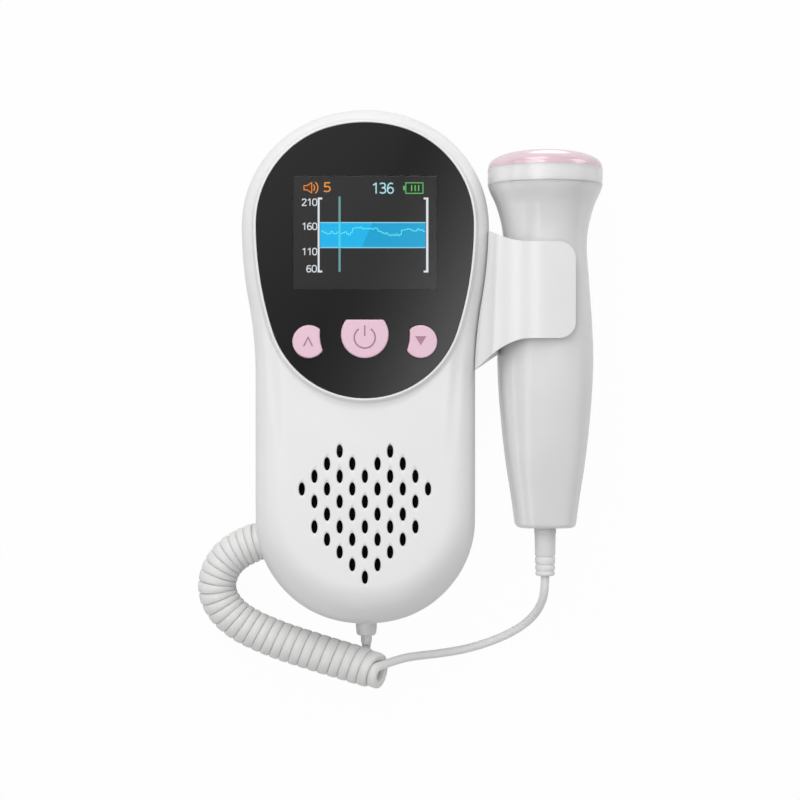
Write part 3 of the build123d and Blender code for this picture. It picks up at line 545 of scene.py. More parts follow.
mirrored = table_finish.node("ShaderNodeLightPath", {}, {}, "Is Glossy Ray")
passed = table_finish.node("ShaderNodeLightPath", {}, {}, "Is Transmission Ray")
# The patch glows brighter than white, and only for mirrored rays: it puts a painted highlight on the dome.
glow_patch_x = (table_finish.along("X") - glow_patch_middle[0]) / glow_patch_half[0]
glow_patch_y = (table_finish.along("Y") - glow_patch_middle[1]) / glow_patch_half[1]
glow_patch_edge = {"Value": glow_patch_x * glow_patch_x + glow_patch_y * glow_patch_y, "From Min": 1.3, "From Max": 0.7}
glow_patch = table_finish.node("ShaderNodeMapRange", {}, glow_patch_edge) * mirrored
white = (1.0, 1.0, 1.0, 1.0)
glow_sockets = {"Color": white, "Strength": 1.0 + glow_patch * glow_patch_level}
table_glow = table_finish.node("ShaderNodeEmission", {}, glow_sockets)
white_share = (seen + passed) * white_seen + mirrored * white_mirrored + glow_patch * (1.0 - white_mirrored)
table_mix = table_finish.node("ShaderNodeMixShader", {}, {0: white_share, 1: table_paint, 2: table_glow})
coat(table_top, table_finish.shown(table_mix))

world = bpy.data.worlds.new("even_light")
bpy.context.scene.world = world
sky = Finish(world)
sky_way = sky.node("ShaderNodeTexCoord", {}, {}, "Generated")
way_x = sky.node("ShaderNodeSeparateXYZ", {}, {0: sky_way}, "X")
way_y = sky.node("ShaderNodeSeparateXYZ", {}, {0: sky_way}, "Y")
height = sky.node("ShaderNodeSeparateXYZ", {}, {0: sky_way}, "Z")
sky_mirrored = sky.node("ShaderNodeLightPath", {}, {}, "Is Glossy Ray")
sky_low = 0.08
sky_rise = 0.64
sky_dimming = 0.5
sky_level = (sky_low + sky_rise * height) * (1.0 - sky_dimming * sky_mirrored)

# Straight overhead hangs a large soft panel, dim on the left of a slanting edge and brighter to its right.
# Beside it hang two narrow strips, which light nothing and only show where they are mirrored.
panel_sides = (-0.14, 0.045)
panel_ends = (-0.16, 0.20)
panel_edge = -0.052
panel_fade = 0.064
panel_slant = 0.43
dim_level = 0.18
dim_rise = 3.4
dim_fall = 3.0
bright_level = 0.48
bright_rise = 2.0
strip_sides = ((0.108, 0.148), (0.198, 0.240))
strip_ends = (0.0, 0.11)
strip_level = 3.2


def between(value, low, high):
    """One where a reading lies between the two, and nothing elsewhere."""
    return (value > low) * (value < high)


across = way_x / height
up = way_y / height
above = height > 0.0
slant = across - panel_slant * up
fade_sockets = {"Value": slant, "From Min": panel_edge, "From Max": panel_edge + panel_fade}
fade = sky.node("ShaderNodeMapRange", {}, fade_sockets)
dim_part = dim_level + dim_rise * up - dim_fall * across
bright_part = bright_level + bright_rise * (fade * fade)
panel_level = dim_part + (slant > panel_edge) * (bright_part - dim_part)
panel = between(across, *panel_sides) * between(up, *panel_ends) * above
strips = (between(across, *strip_sides[0]) + between(across, *strip_sides[1])) * strip_level
strips = between(up, *strip_ends) * above * sky_mirrored * strips
sky_level = sky_level + panel * (panel_level - sky_level) + strips
sky_seen = sky.node("ShaderNodeLightPath", {}, {}, "Is Camera Ray")
sky_level = sky_level + sky_seen * (1.0 - sky_level)
sky.shown(sky.node("ShaderNodeBackground", {}, {"Color": white, "Strength": sky_level}))


def lamp(name, place, aim, width, height, power, turn=0.0):
    """A flat soft lamp at a place, facing an aim and turned about its own axis, in metres and watts."""
    data = bpy.data.lights.new(name, "AREA")
    data.shape = "RECTANGLE"
    data.size = width
    data.size_y = height
    data.energy = power
    hung = bpy.data.objects.new(name, data)
    hung.location = place
    hung.rotation_euler = (Vector(aim) - Vector(place)).to_track_quat("-Z", "Y").to_euler()
    hung.rotation_euler.rotate_axis("Z", turn)
    hung.visible_camera = False
    bpy.context.collection.objects.link(hung)


lamp("top_lamp", (-0.16, 0.75, 0.40), (0.01, 0.0, 0.02), 0.5, 0.5, 1.9)
lamp("overhead_strip", (-0.24, 0.05, 1.10), (0.04, 0.0, 0.02), 0.16, 1.2, 1.2, pi / 2)
lamp("left_strip", (-0.85, 0.0, 0.50), (0.04, 0.0, 0.02), 0.20, 1.2, 0.95, pi / 2)
lamp("right_fill", (0.72, 0.42, 0.24), (0.04, 0.0, 0.02), 0.4, 0.4, 1.3)
lamp("foot_fill", (0.05, -0.80, 0.50), (0.0, -0.05, 0.02), 0.6, 0.6, 0.4)
lamp("key_lamp", (-0.15, 0.25, 0.45), (0.01, 0.02, 0.02), 0.3, 0.3, 0.63)
bpy.context.scene.view_settings.view_transform = "Standard"

# ---------------------------------------------------------------- front shell
# The white front half of the case: a wide round head over a narrower foot, moulded with a raised lip round
# the black panel, a soft flute that runs on from it down each side, and slots over the speaker.
case_length = 148.7
case_depth = 30.0
parting_z = 14.0
wall = 2.0
front_round = 8.0
foot_round = 12.5
head_half_width = 35.7
head_side_centre = 2.7
crown_radius = 40.0
cheek_length = 43.0
cheek_step = 4.0
foot_corner_centre = 1.7
sole_radius = 38.0
egg_half_width = 30.9
egg_length = 78.3
egg_top_margin = 4.75
egg_crown_radius = 37.0
egg_side_centre = 2.4
egg_point_step = 3.4
lip_width = 1.75
lip_top = 31.2
recess_floor = 28.75
under_floor = 27.25
parting_groove = 0.22
foot_round_span = (38.0, 66.0)
flute_depth = 0.42
flute_half_width = 2.4
flute_inset = 5.3
flute_slant = 0.07
flute_bend_y = 2.0
flute_foot_fade = (-34.0, -6.0)
flute_head_fade = (2.0, 22.0)
outline_points = 400
face_rings = 60
screen_y = 38.4
power_y = 9.36
side_key_x = 15.9
side_key_y = 7.3
screen_opening = (41.5, 32.9)
power_opening = 6.99
side_key_opening = 4.92
slot_width = 1.72
slot_length = 3.85
slot_pitch = 3.6
slot_rows = (
    (3, 7), (2, 4, 6, 8), (1, 3, 5, 7, 9), (0, 2, 4, 6, 8, 10), (1, 3, 5, 7, 9), (2, 4, 6, 8),
    (1, 3, 5, 7, 9), (2, 4, 6, 8), (3, 5, 7), (4, 6), (5,),
)
middle_slot = 5
speaker_y = -41.9

case_top_y = case_length / 2
case_foot_y = -case_length / 2
foot_half_width = head_half_width - cheek_step
egg_top_y = case_top_y - egg_top_margin
egg_foot_y = egg_top_y - egg_length


def joined_arc(end_y, flat_radius, side_radius, half_width):
    """The angle at which an end arc meets the tighter side arc, and the height of the side arc's centre."""
    sign = 1 if end_y > 0 else -1
    angle = degrees(acos((half_width - side_radius) / (flat_radius - side_radius)))
    rise = flat_radius - (flat_radius - side_radius) * sin(radians(angle))
    return angle, end_y - sign * rise


head_side_radius = head_half_width - head_side_centre
foot_corner_radius = foot_half_width - foot_corner_centre
crown_angle, head_y = joined_arc(case_top_y, crown_radius, head_side_radius, head_half_width)
sole_angle, foot_y = joined_arc(case_foot_y, sole_radius, foot_corner_radius, foot_half_width)
cheek_angle = 2 * degrees(atan(cheek_step / cheek_length))
cheek_radius = cheek_length / (2 * sin(radians(cheek_angle)))
waist_y = head_y - cheek_length
case_arcs = (
    (0, case_top_y - crown_radius, crown_radius, 90, crown_angle),
    (head_side_centre, head_y, head_side_radius, crown_angle, 0),
    (head_half_width - cheek_radius, head_y, cheek_radius, 0, -cheek_angle),
    (foot_half_width + cheek_radius, waist_y, -cheek_radius, 180 - cheek_angle, 180),
    (foot_corner_centre, foot_y, foot_corner_radius, 0, -sole_angle),
    (0, case_foot_y + sole_radius, sole_radius, -sole_angle, -90),
)
egg_side_radius = egg_half_width - egg_side_centre
egg_point_radius = egg_half_width - egg_point_step
egg_angle, egg_y = joined_arc(egg_top_y, egg_crown_radius, egg_side_radius, egg_half_width)
egg_point_y = egg_foot_y + egg_point_radius
egg_drop = egg_y - egg_point_y
egg_flank_square = egg_half_width**2 + egg_drop**2 - egg_point_radius**2
egg_flank_radius = egg_flank_square / (2 * (egg_half_width - egg_point_radius))
egg_flank_angle = degrees(atan(egg_drop / (egg_flank_radius - egg_half_width)))
egg_arcs = (
    (0, egg_top_y - egg_crown_radius, egg_crown_radius, 90, egg_angle),
    (egg_side_centre, egg_y, egg_side_radius, egg_angle, 0),
    (egg_half_width - egg_flank_radius, egg_y, egg_flank_radius, 0, -egg_flank_angle),
    (0, egg_point_y, egg_point_radius, -egg_flank_angle, -90),
)


def half_outline(arcs, grow):
    """Close points down the right half of an outline let out by grow; a negative radius curves inwards."""
    points = []
    for x, y, radius, start, end in arcs:
        reach = abs(radius) + copysign(grow, radius)
        for angle in np.radians(np.linspace(start, end, 160)):
            points.append((x + reach * cos(angle), y + reach * sin(angle)))
    return np.array(points)


def whole_outline(arcs, grow):
    """The whole outline, clockwise from the top, with its middle points once only."""
    right = half_outline(arcs, grow)
    left = right[-2:0:-1] * (-1, 1)
    return np.vstack((right, left))


outline_centre = np.array((0.0, 22.0))


def bearings(points):
    """The clockwise bearing of each point from the middle of the egg, from 0 at the top."""
    away = points - outline_centre
    return np.mod(np.arctan2(away[:, 0], away[:, 1]), 2 * pi)


case_edge = whole_outline(case_arcs, 0.0)
case_loop = np.vstack((case_edge, case_edge[:1]))
case_along = run_along(case_loop)
case_stops = np.linspace(0.0, case_along[-1], outline_points, endpoint=False)
case_ring = np.column_stack([np.interp(case_stops, case_along, case_loop[:, axis]) for axis in range(2)])
case_bearings = bearings(case_ring)


def egg_ring(grow):
    """The egg's outline let out by grow, with a point on the bearing of each point of the case's outline."""
    edge = whole_outline(egg_arcs, grow)
    edge_bearings = bearings(edge)
    order = np.argsort(edge_bearings)
    known = edge_bearings[order]
    known = np.concatenate((known[-1:] - 2 * pi, known, known[:1] + 2 * pi))
    sorted_edge = edge[order]
    sorted_edge = np.vstack((sorted_edge[-1:], sorted_edge, sorted_edge[:1]))
    return np.column_stack([np.interp(case_bearings, known, sorted_edge[:, axis]) for axis in range(2)])


def edge_distance(points):
    """How far each point is inside the case's outline."""
    x = np.abs(points[:, 0])
    y = points[:, 1]
    nearest = np.where((y > foot_y) & (y < waist_y), np.abs(foot_half_width - x), 1e9)
    for centre_x, centre_y, radius, start, end in case_arcs:
        away = np.hypot(x - centre_x, y - centre_y)
        angle = np.degrees(np.arctan2(y - centre_y, x - centre_x))
        low, high = min(start, end), max(start, end)
        within = (angle >= low - 0.01) & (angle <= high + 0.01)
        nearest = np.minimum(nearest, np.where(within, np.abs(away - abs(radius)), 1e9))
    return nearest


def eased(values, low, high):
    """From 0 at low to 1 at high, with a soft start and end."""
    share = np.clip((values - low) / (high - low), 0.0, 1.0)
    return share * share * (3 - 2 * share)


def face_height(points, distance):
    """The face's height: its edge is rounded, more so at the foot, and a flute runs down each side."""
    y = points[:, 1]
    rounding = front_round + (foot_round - front_round) * eased(-y, *foot_round_span)
    over = np.maximum(0.0, rounding - distance)
    height = case_depth - rounding + np.sqrt(np.maximum(0.0, rounding**2 - over**2))
    flute_at = flute_inset + flute_slant * np.maximum(0.0, flute_bend_y - y)
    away = np.clip(np.abs(distance - flute_at) / flute_half_width, 0.0, 1.0)
    strength = eased(y, *flute_foot_fade) * (1 - eased(y, *flute_head_fade))
    return height - flute_depth * strength * (1 + np.cos(pi * away)) / 2


def raised(ring, height):
    """A flat ring of points at one height, or at a height for each."""
    return np.column_stack((ring, np.broadcast_to(height, len(ring))))


# The lip's crest, as how far it stands out from the egg and how high.
lip_crest = ((0.15, 31.0), (0.19, 31.12), (0.28, 31.18), (0.4, lip_top), (0.6, 31.19), (0.72, 31.14))
lip_foot_round = 0.2
lip_foot_rise = 0.12
lip_ring = egg_ring(lip_width)
lip_distance = edge_distance(lip_ring)
lip_foot_z = face_height(lip_ring, lip_distance)
shell_rings = [raised(egg_ring(lip_crest[0][0]), recess_floor)]
for crest_out, crest_z in lip_crest:
    shell_rings.append(raised(egg_ring(crest_out), crest_z))
for share in (0.35, 0.7, 0.9):
    band = egg_ring(crest_out + share * (lip_width - lip_foot_round - crest_out))
    shell_rings.append(raised(band, crest_z + share * (lip_foot_z + lip_foot_rise - crest_z)))
shell_rings.append(raised(lip_ring, lip_foot_z))
for step in range(face_rings - 1, 0, -1):
    share = (step / face_rings) ** 2.0
    band = case_ring + (lip_ring - case_ring) * share
    shell_rings.append(raised(band, face_height(band, edge_distance(band))))
edge_z = face_height(case_ring, np.zeros(len(case_ring)))
shell_rings.append(raised(case_ring, edge_z))
for share in (0.33, 0.66):
    shell_rings.append(raised(case_ring, edge_z + share * (parting_z + parting_groove - edge_z)))
shell_rings.append(raised(case_ring, parting_z + parting_groove))


def drawn_in(distance):
    """The case's outline drawn in by a distance, square to itself."""
    ahead = np.roll(case_ring, -1, axis=0) - np.roll(case_ring, 1, axis=0)
    inward = np.column_stack((ahead[:, 1], -ahead[:, 0]))
    return case_ring + distance * inward / np.linalg.norm(inward, axis=1)[:, None]


inner_ring = drawn_in(wall)
floor_ring = egg_ring(lip_width - 0.25)
shell_rings.append(raised(drawn_in(parting_groove), parting_z))
shell_rings.append(raised(inner_ring, parting_z))
for share in (0.0, 0.01, 0.03, 0.07, 0.12, 0.19, 0.28, 0.4, 0.6, 0.8, 1.0):
    band = inner_ring + (floor_ring - inner_ring) * share
    over = np.maximum(0.0, front_round - edge_distance(band))
    inside = case_depth - front_round + np.sqrt(np.maximum(0.0, (front_round - wall) ** 2 - over**2))
    shell_rings.append(raised(band, inside))
shell_rings.append(raised(floor_ring, under_floor))
front_shell = skin("front_shell_moulding", shell_rings)


def prism(name, shapes, low, high):
    """Flat shapes, each a list of points round its edge, raised into solids between two heights."""
    points = []
    faces = []
    for shape in shapes:
        start = len(points)
        size = len(shape)
        points += [(x, y, low) for x, y in shape] + [(x, y, high) for x, y in shape]
        faces.append(tuple(range(start + size - 1, start - 1, -1)))
        faces.append(tuple(range(start + size, start + 2 * size)))
        for step in range(size):
            ahead = (step + 1) % size
            faces.append((start + step, start + ahead, start + size + ahead, start + size + step))
    return piece_of(name, points, faces)


def box_shape(left, right, foot, top):
    """The corners of an upright rectangle."""
    return [(left, foot), (right, foot), (right, top), (left, top)]


def round_points(x, y, radius, steps=48):
    """Points round a circle."""
    angles = [2 * pi * step / steps for step in range(steps)]
    return [(x + radius * cos(angle), y + radius * sin(angle)) for angle in angles]


def grown_tree(name, inputs):
    """A geometry tree's bench, and the identifier and the reading of each of its inputs."""
    tree = bpy.data.node_groups.new(name, "GeometryNodeTree")
    tree.interface.new_socket("Geometry", in_out="INPUT", socket_type="NodeSocketGeometry")
    identifiers = {}
    for label, kind in inputs.items():
        identifiers[label] = tree.interface.new_socket(label, in_out="INPUT", socket_type=kind).identifier
    tree.interface.new_socket("Geometry", in_out="OUTPUT", socket_type="NodeSocketGeometry")
    bench = Bench(tree)
    given = {label: bench.node("NodeGroupInput", {}, {}, label) for label in ("Geometry", *inputs)}
    return bench, identifiers, given


def applied(piece):
    """The plain mesh of a piece with its modifiers applied."""
    bpy.context.view_layer.update()
    return bpy.data.meshes.new_from_object(piece.evaluated_get(bpy.context.evaluated_depsgraph_get()))


def baked(name, grower, tree, values):
    """The plain piece that a geometry tree makes from an object with these values for its inputs."""
    modifier = grower.modifiers.new("grow", "NODES")
    modifier.node_group = tree
    for identifier, value in values.items():
        modifier[identifier] = value
    grower.update_tag()
    mesh = applied(grower)
    mesh.name = name
    grower.modifiers.remove(modifier)
    made = bpy.data.objects.new(name, mesh)
    bpy.context.collection.objects.link(made)
    return made


# Each slot is cut by an oval pin, wider at the mouth for its softened edge and below for clearance.
pin_depth = 3.8
pin_sink = 1.6
mouth_span = (1.3, 1.9)
mouth_spread = 1.45
throat_span = (-1.9, 1.2)
throat_spread = 1.5
slot_spots = []
for row, columns in enumerate(slot_rows):
    for column in columns:
        x = (column - middle_slot) * slot_pitch
        y = speaker_y + (middle_slot - row) * slot_pitch
        slot_spots.append((x, y, case_depth - pin_sink))
slot_seeds = piece_of("slot_seeds", slot_spots, [])
slot_bench, slot_inputs, given = grown_tree(
    "speaker_slots",
    {
        "Width": "NodeSocketFloat",
        "Length": "NodeSocketFloat",
        "Depth": "NodeSocketFloat",
        "Finish": "NodeSocketMaterial",
    },
)
pin_sockets = {"Vertices": 28, "Side Segments": 12, "Radius": 0.5, "Depth": given["Depth"]}
pin = slot_bench.node("GeometryNodeMeshCylinder", {}, pin_sockets)
pin_place = slot_bench.node("GeometryNodeInputPosition", {}, {})
pin_z = slot_bench.node("ShaderNodeSeparateXYZ", {}, {0: pin_place}, "Z") / millimetre
mouth_sockets = {
    "Value": pin_z,
    "From Min": mouth_span[0],
    "From Max": mouth_span[1],
    "To Min": 1.0,
    "To Max": mouth_spread,
}
throat_sockets = {
    "Value": pin_z,
    "From Min": throat_span[0],
    "From Max": throat_span[1],
    "To Min": throat_spread,
    "To Max": 1.0,
}
mouth = slot_bench.node("ShaderNodeMapRange", {}, mouth_sockets)
throat = slot_bench.node("ShaderNodeMapRange", {}, throat_sockets)
swell_sockets = {"X": mouth * throat * given["Width"], "Y": mouth * given["Length"], "Z": 1.0}
swell = slot_bench.node("ShaderNodeCombineXYZ", {}, swell_sockets)
moved = slot_bench.node("ShaderNodeVectorMath", {"operation": "MULTIPLY"}, {0: pin_place, 1: swell})
oval_pin = slot_bench.node("GeometryNodeSetPosition", {}, {"Geometry": pin, "Position": moved})
pin_spots = {"Points": given["Geometry"], "Instance": oval_pin}
pins = slot_bench.node("GeometryNodeInstanceOnPoints", {}, pin_spots)
real_pins = slot_bench.node("GeometryNodeRealizeInstances", {}, {"Geometry": pins})
coated_sockets = {"Geometry": real_pins, "Material": given["Finish"]}
coated_pins = slot_bench.node("GeometryNodeSetMaterial", {}, coated_sockets)
slot_end = slot_bench.tree.nodes.new("NodeGroupOutput")
slot_bench.tree.links.new(coated_pins.socket, slot_end.inputs["Geometry"])

white_case = moulded("case_plastic", (236, 235, 235), 0.34, 0.000004)
slot_pins = baked(
    "slot_pins",
    slot_seeds,
    slot_bench.tree,
    {
        slot_inputs["Width"]: slot_width * millimetre,
        slot_inputs["Length"]: slot_length * millimetre,
        slot_inputs["Depth"]: pin_depth * millimetre,
        slot_inputs["Finish"]: white_case,
    },
)
coat(front_shell, white_case)


def cut_away(piece, cutter, transfer=False):
    """Cuts one piece's shape out of another, and takes the cutter away."""
    cutting = piece.modifiers.new("cut", "BOOLEAN")
    cutting.operation = "DIFFERENCE"
    cutting.solver = "EXACT"
    cutting.object = cutter
    if transfer:
        cutting.material_mode = "TRANSFER"
    mesh = applied(piece)
    piece.modifiers.remove(cutting)
    piece.data = mesh
    bpy.data.objects.remove(cutter)
    smoothed(piece)


cut_away(front_shell, slot_pins)
bpy.data.objects.remove(slot_seeds)

# The floor under the panel is open for the screen and for each key.
opening_half_width, opening_half_length = (side / 2 for side in screen_opening)
opening_foot = screen_y - opening_half_length
opening_top = screen_y + opening_half_length
floor_openings = [
    box_shape(-opening_half_width, opening_half_width, opening_foot, opening_top),
    round_points(0.0, power_y, power_opening),
    round_points(-side_key_x, side_key_y, side_key_opening),
    round_points(side_key_x, side_key_y, side_key_opening),
]
cut_away(front_shell, prism("floor_openings", floor_openings, under_floor - 0.5, recess_floor + 0.5))
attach(front_shell, "case")
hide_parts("front_shell")

# ---------------------------------------------------------------- back shell and battery cover
# The white back half, with the battery box and its channel, and the cover that slides in the channel. Both
# are moulded in the same plastic as the front.
dressed("back_shell", white_case)
dressed("battery_cover", white_case)

# ---------------------------------------------------------------- black panel and window
# A glossy black acrylic panel set in the lip, with a clear window over the screen, both bonded to the shell.
panel_finish = Finish(bpy.data.materials.new("panel_black"))
panel_cloud = panel_finish.noise(40.0, 2.0)
dressed(
    "front_panel",
    panel_finish.surface(
        {
            "Base Color": panel_finish.mixed(panel_cloud, paint(15, 15, 16), paint(19, 19, 20)),
            "Roughness": panel_cloud * 0.03 + 0.03,
            "Specular IOR Level": 0.42,
        }
    ),
)
pane_lap = 0.1
window_finish = Finish(bpy.data.materials.new("window_clear"))
window_cloud = window_finish.noise(40.0, 2.0)
window_clear = window_finish.surface(
    {
        "Base Color": white,
        "Transmission Weight": 1.0,
        "Roughness": window_cloud * 0.01 + 0.01,
        "IOR": 1.3,
    }
)
pane_low, pane_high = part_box("display_window")
pane_left, pane_foot, pane_under = (side / millimetre for side in pane_low)
pane_right, pane_top, pane_face = (side / millimetre for side in pane_high)
pane_shape = box_shape(pane_left - pane_lap, pane_right + pane_lap, pane_foot - pane_lap, pane_top + pane_lap)
window = prism("window_pane", [pane_shape], pane_under, pane_face)
coat(window, window_clear)
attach(window, "case")
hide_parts("display_window")

# ---------------------------------------------------------------- screen
# A small colour screen of fine dots, lit from behind and held in a metal frame. Its face shows the sound's
# level, the heart rate, the battery's charge, and a trace of the rate over its normal range.
screen_face_z = 28.65
fill_z = 28.68
line_z = 28.70
trace_z = 28.71
cursor_z = 28.73
screen_black = Finish(bpy.data.materials.new("screen_face"))
dots = screen_black.node("ShaderNodeTexChecker", {}, {"Vector": screen_black.place(), "Scale": 7000.0}, "Fac")
dressed(
    "display_screen",
    screen_black.surface(
        {
            "Base Color": screen_black.mixed(dots, paint(10, 10, 11), paint(14, 14, 15)),
            "Roughness": 0.35,
            "Specular IOR Level": 0.0,
            "Emission Color": screen_black.mixed(dots, paint(36, 36, 37), paint(40, 40, 41)),
            "Emission Strength": 1.0,
        }
    ),
)


def arc_band(x, y, inner, outer, start, end, steps=24):
    """A flat band round part of a circle, between two angles in degrees."""
    angles = np.radians(np.linspace(start, end, steps))
    out = [(x + outer * cos(a), y + outer * sin(a)) for a in angles]
    back = [(x + inner * cos(a), y + inner * sin(a)) for a in angles[::-1]]
    return out + back


def lit(name, colour):
    """One colour of the screen's lit dots, with the fine lines between them."""
    finish = Finish(bpy.data.materials.new(name))
    rows = finish.waves(1400.0, "Y")
    return finish.surface(
        {
            "Base Color": paint(10, 10, 10),
            "Roughness": 0.4,
            "Specular IOR Level": 0.1,
            "Emission Color": finish.mixed(rows, paint(*colour, 0.9), paint(*colour)),
            "Emission Strength": 1.0,
        }
    )


# Each figure is drawn with a pen in a box one unit high and 0.57 wide, and takes a share of its step along
# the line. A stroke runs on past both its ends by a share of its width.
figure_box = 0.57
figure_share = 0.8
stroke_lap = 0.3
figure_strokes = {
    "0": [[(0.285 + 0.285 * x, 0.5 + 0.5 * y) for x, y in (squared(pi * k / 10, 2.6) for k in range(21))]],
    "1": [[(0.10, 0.80), (0.36, 1.0), (0.36, 0.0)]],
    "2": [[(0.03, 0.82), (0.14, 0.97), (0.40, 0.98), (0.53, 0.83), (0.50, 0.62), (0.0, 0.0), (0.57, 0.0)]],
    "3": [
        [(0.03, 0.92), (0.20, 1.0), (0.42, 0.97), (0.52, 0.80), (0.46, 0.60), (0.22, 0.54)],
        [(0.22, 0.54), (0.48, 0.47), (0.57, 0.27), (0.47, 0.06), (0.24, 0.0), (0.02, 0.08)],
    ],
    "5": [
        [(0.52, 1.0), (0.10, 1.0), (0.06, 0.56), (0.34, 0.60), (0.52, 0.48)],
        [(0.52, 0.48), (0.56, 0.27), (0.46, 0.06), (0.24, 0.0), (0.02, 0.07)],
    ],
    "6": [
        [(0.50, 0.94), (0.30, 1.0), (0.11, 0.86), (0.02, 0.58), (0.03, 0.22), (0.14, 0.04), (0.30, 0.0)],
        [(0.30, 0.0), (0.49, 0.07), (0.57, 0.28), (0.50, 0.50), (0.30, 0.59), (0.12, 0.50), (0.03, 0.36)],
    ],
}


def stroke(start, end, width):
    """A straight pen line with a width, a little longer than its length so that it meets the next."""
    along = unit(np.subtract(end, start)) * width * stroke_lap
    side = np.array([-along[1], along[0]]) / (2 * stroke_lap)
    start = np.subtract(start, along)
    end = np.add(end, along)
    return [tuple(start - side), tuple(end - side), tuple(end + side), tuple(start + side)]


def penned(points, width):
    """The strokes of a pen along points."""
    return [stroke(start, end, width) for start, end in zip(points, points[1:])]


def figures(text, left, right, foot, top, width):
    """Plain figures that fill a box on the screen."""
    step = (right - left) / (len(text) - 1 + figure_share)
    shapes = []
    for place, figure in enumerate(text):
        for line in figure_strokes[figure]:
            across = [left + step * (place + figure_share * x / figure_box) for x, y in line]
            up = [foot + width / 2 + (top - foot - width) * y for x, y in line]
            shapes += penned(list(zip(across, up)), width)
    return shapes


def shown_on_screen(name, shapes, top, light, colour):
    """Lit shapes of one colour, raised from the screen's face to a height, which move with the case."""
    group = prism(name, shapes, screen_face_z, top)
    coat(group, lit(light, colour))
    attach(group, "case")


horn = [(-17.4, 50.7), (-16.5, 50.7), (-15.2, 49.8), (-15.2, 52.8), (-16.5, 51.9), (-17.4, 51.9)]
sound_shapes = penned(horn + horn[:1], 0.24)
sound_shapes.append(arc_band(-15.5, 51.3, 1.0, 1.28, -48, 48))
sound_shapes.append(arc_band(-15.5, 51.3, 1.9, 2.2, -50, 50))
sound_shapes += figures("5", -11.7, -9.9, 50.0, 52.9, 0.38)
shown_on_screen("sound_level", sound_shapes, line_z, "lit_orange", (236, 150, 50))
shown_on_screen("sound_horn", [horn], fill_z, "lit_rust", (84, 14, 0))

rate_shapes = figures("136", 2.1, 8.1, 49.55, 52.8, 0.36)
shown_on_screen("heart_rate", rate_shapes, line_z, "lit_cyan", (176, 226, 236))

cell_outline = box_shape(11.65, 16.55, 49.7, 52.7)
charge_shapes = penned(cell_outline + cell_outline[:1], 0.27)
charge_shapes += [box_shape(13.15 + step, 13.5 + step, 50.35, 52.05) for step in (0.0, 1.0, 2.0)]
charge_shapes.append(box_shape(10.9, 11.4, 50.6, 51.8))
shown_on_screen("charge", charge_shapes, line_z, "lit_green", (104, 190, 108))
shown_on_screen("charge_cell", [cell_outline], fill_z, "lit_dark_green", (0, 28, 3))

scale_shapes = [
    *figures("210", -17.95, -13.75, 46.1, 48.25, 0.27),
    *figures("160", -17.95, -13.75, 39.2, 41.35, 0.27),
    *figures("110", -17.95, -13.75, 32.0, 34.15, 0.27),
    *figures("60", -16.65, -13.85, 27.1, 29.25, 0.27),
    box_shape(-13.5, -12.95, 27.1, 48.5),
    box_shape(-12.95, -12.2, 47.95, 48.5),
    box_shape(-12.95, -12.2, 27.1, 27.65),
    box_shape(17.45, 18.1, 27.1, 48.5),
    box_shape(16.75, 17.45, 47.95, 48.5),
    box_shape(16.75, 17.45, 27.1, 27.65),
]
shown_on_screen("scale", scale_shapes, line_z, "lit_white", (226, 232, 236))

# The normal range is a blue band with a thin pale edge above and below. Its part left of the slanting edge
# of the panel's reflection is lit brighter, a painted sheen.
band_left = -12.8
band_right = 17.3
band_foot = 34.3
band_top = 41.2
edge_width = 0.3
edge_foot = 34.05
edge_top = band_top + edge_width
sheen_edge_foot = -0.9
sheen_edge_top = 2.1
sheen_band = [(band_left, band_foot), (sheen_edge_foot, band_foot), (sheen_edge_top, band_top), (band_left, band_top)]
plain_band = [(sheen_edge_foot, band_foot), (band_right, band_foot), (band_right, band_top), (sheen_edge_top, band_top)]
edge_shapes = [
    box_shape(band_left, band_right, band_top, edge_top),
    box_shape(band_left, band_right, edge_foot, edge_foot + edge_width),
]
shown_on_screen("normal_range", [plain_band], fill_z, "lit_blue", (0, 165, 215))
# Painted sheen: the band is brighter left of the line where the panel's reflection changes.
shown_on_screen("sheen_range", [sheen_band], fill_z, "sheen_lit_blue", (0, 184, 242))
shown_on_screen("range_edges", edge_shapes, trace_z, "lit_pale_blue", (140, 214, 236))

# The trace wanders in short level steps about a few chosen heights.
trace_knots = (
    (-12.5, 39.2), (-11.6, 38.3), (-9.4, 38.6), (-7.4, 38.2), (-5.7, 38.6), (-4.3, 37.9), (-3.4, 39.8),
    (2.9, 39.6), (4.6, 38.7), (6.9, 37.8), (9.7, 37.8), (10.4, 39.4), (17.2, 39.1),
)
trace_step = 0.56
trace_steps = 53
trace_wander = 0.36
trace_width = 0.2
trace_draw = np.random.default_rng(11)
trace_spots = []
for step in range(trace_steps):
    x = trace_knots[0][0] + step * trace_step
    y = np.interp(x, *zip(*trace_knots))
    level = y + trace_wander * trace_draw.uniform(-1, 1)
    trace_spots += [(x, level), (x + trace_step * 0.8, level)]
shown_on_screen("trace", penned(trace_spots, trace_width), trace_z, "lit_clear_cyan", (104, 246, 255))

# The cursor is a dim line, which the lit range makes brighter where it crosses.
cursor_sides = (-7.55, -6.95)
cursor_ends = (27.3, 48.8)
cursor_shapes = [
    box_shape(*cursor_sides, cursor_ends[0], edge_foot),
    box_shape(*cursor_sides, edge_top, cursor_ends[1]),
]
crossing = [box_shape(*cursor_sides, edge_foot, edge_top)]
shown_on_screen("cursor", cursor_shapes, cursor_z, "lit_teal", (104, 158, 162))
shown_on_screen("cursor_crossing", crossing, cursor_z, "lit_sky", (66, 216, 242))

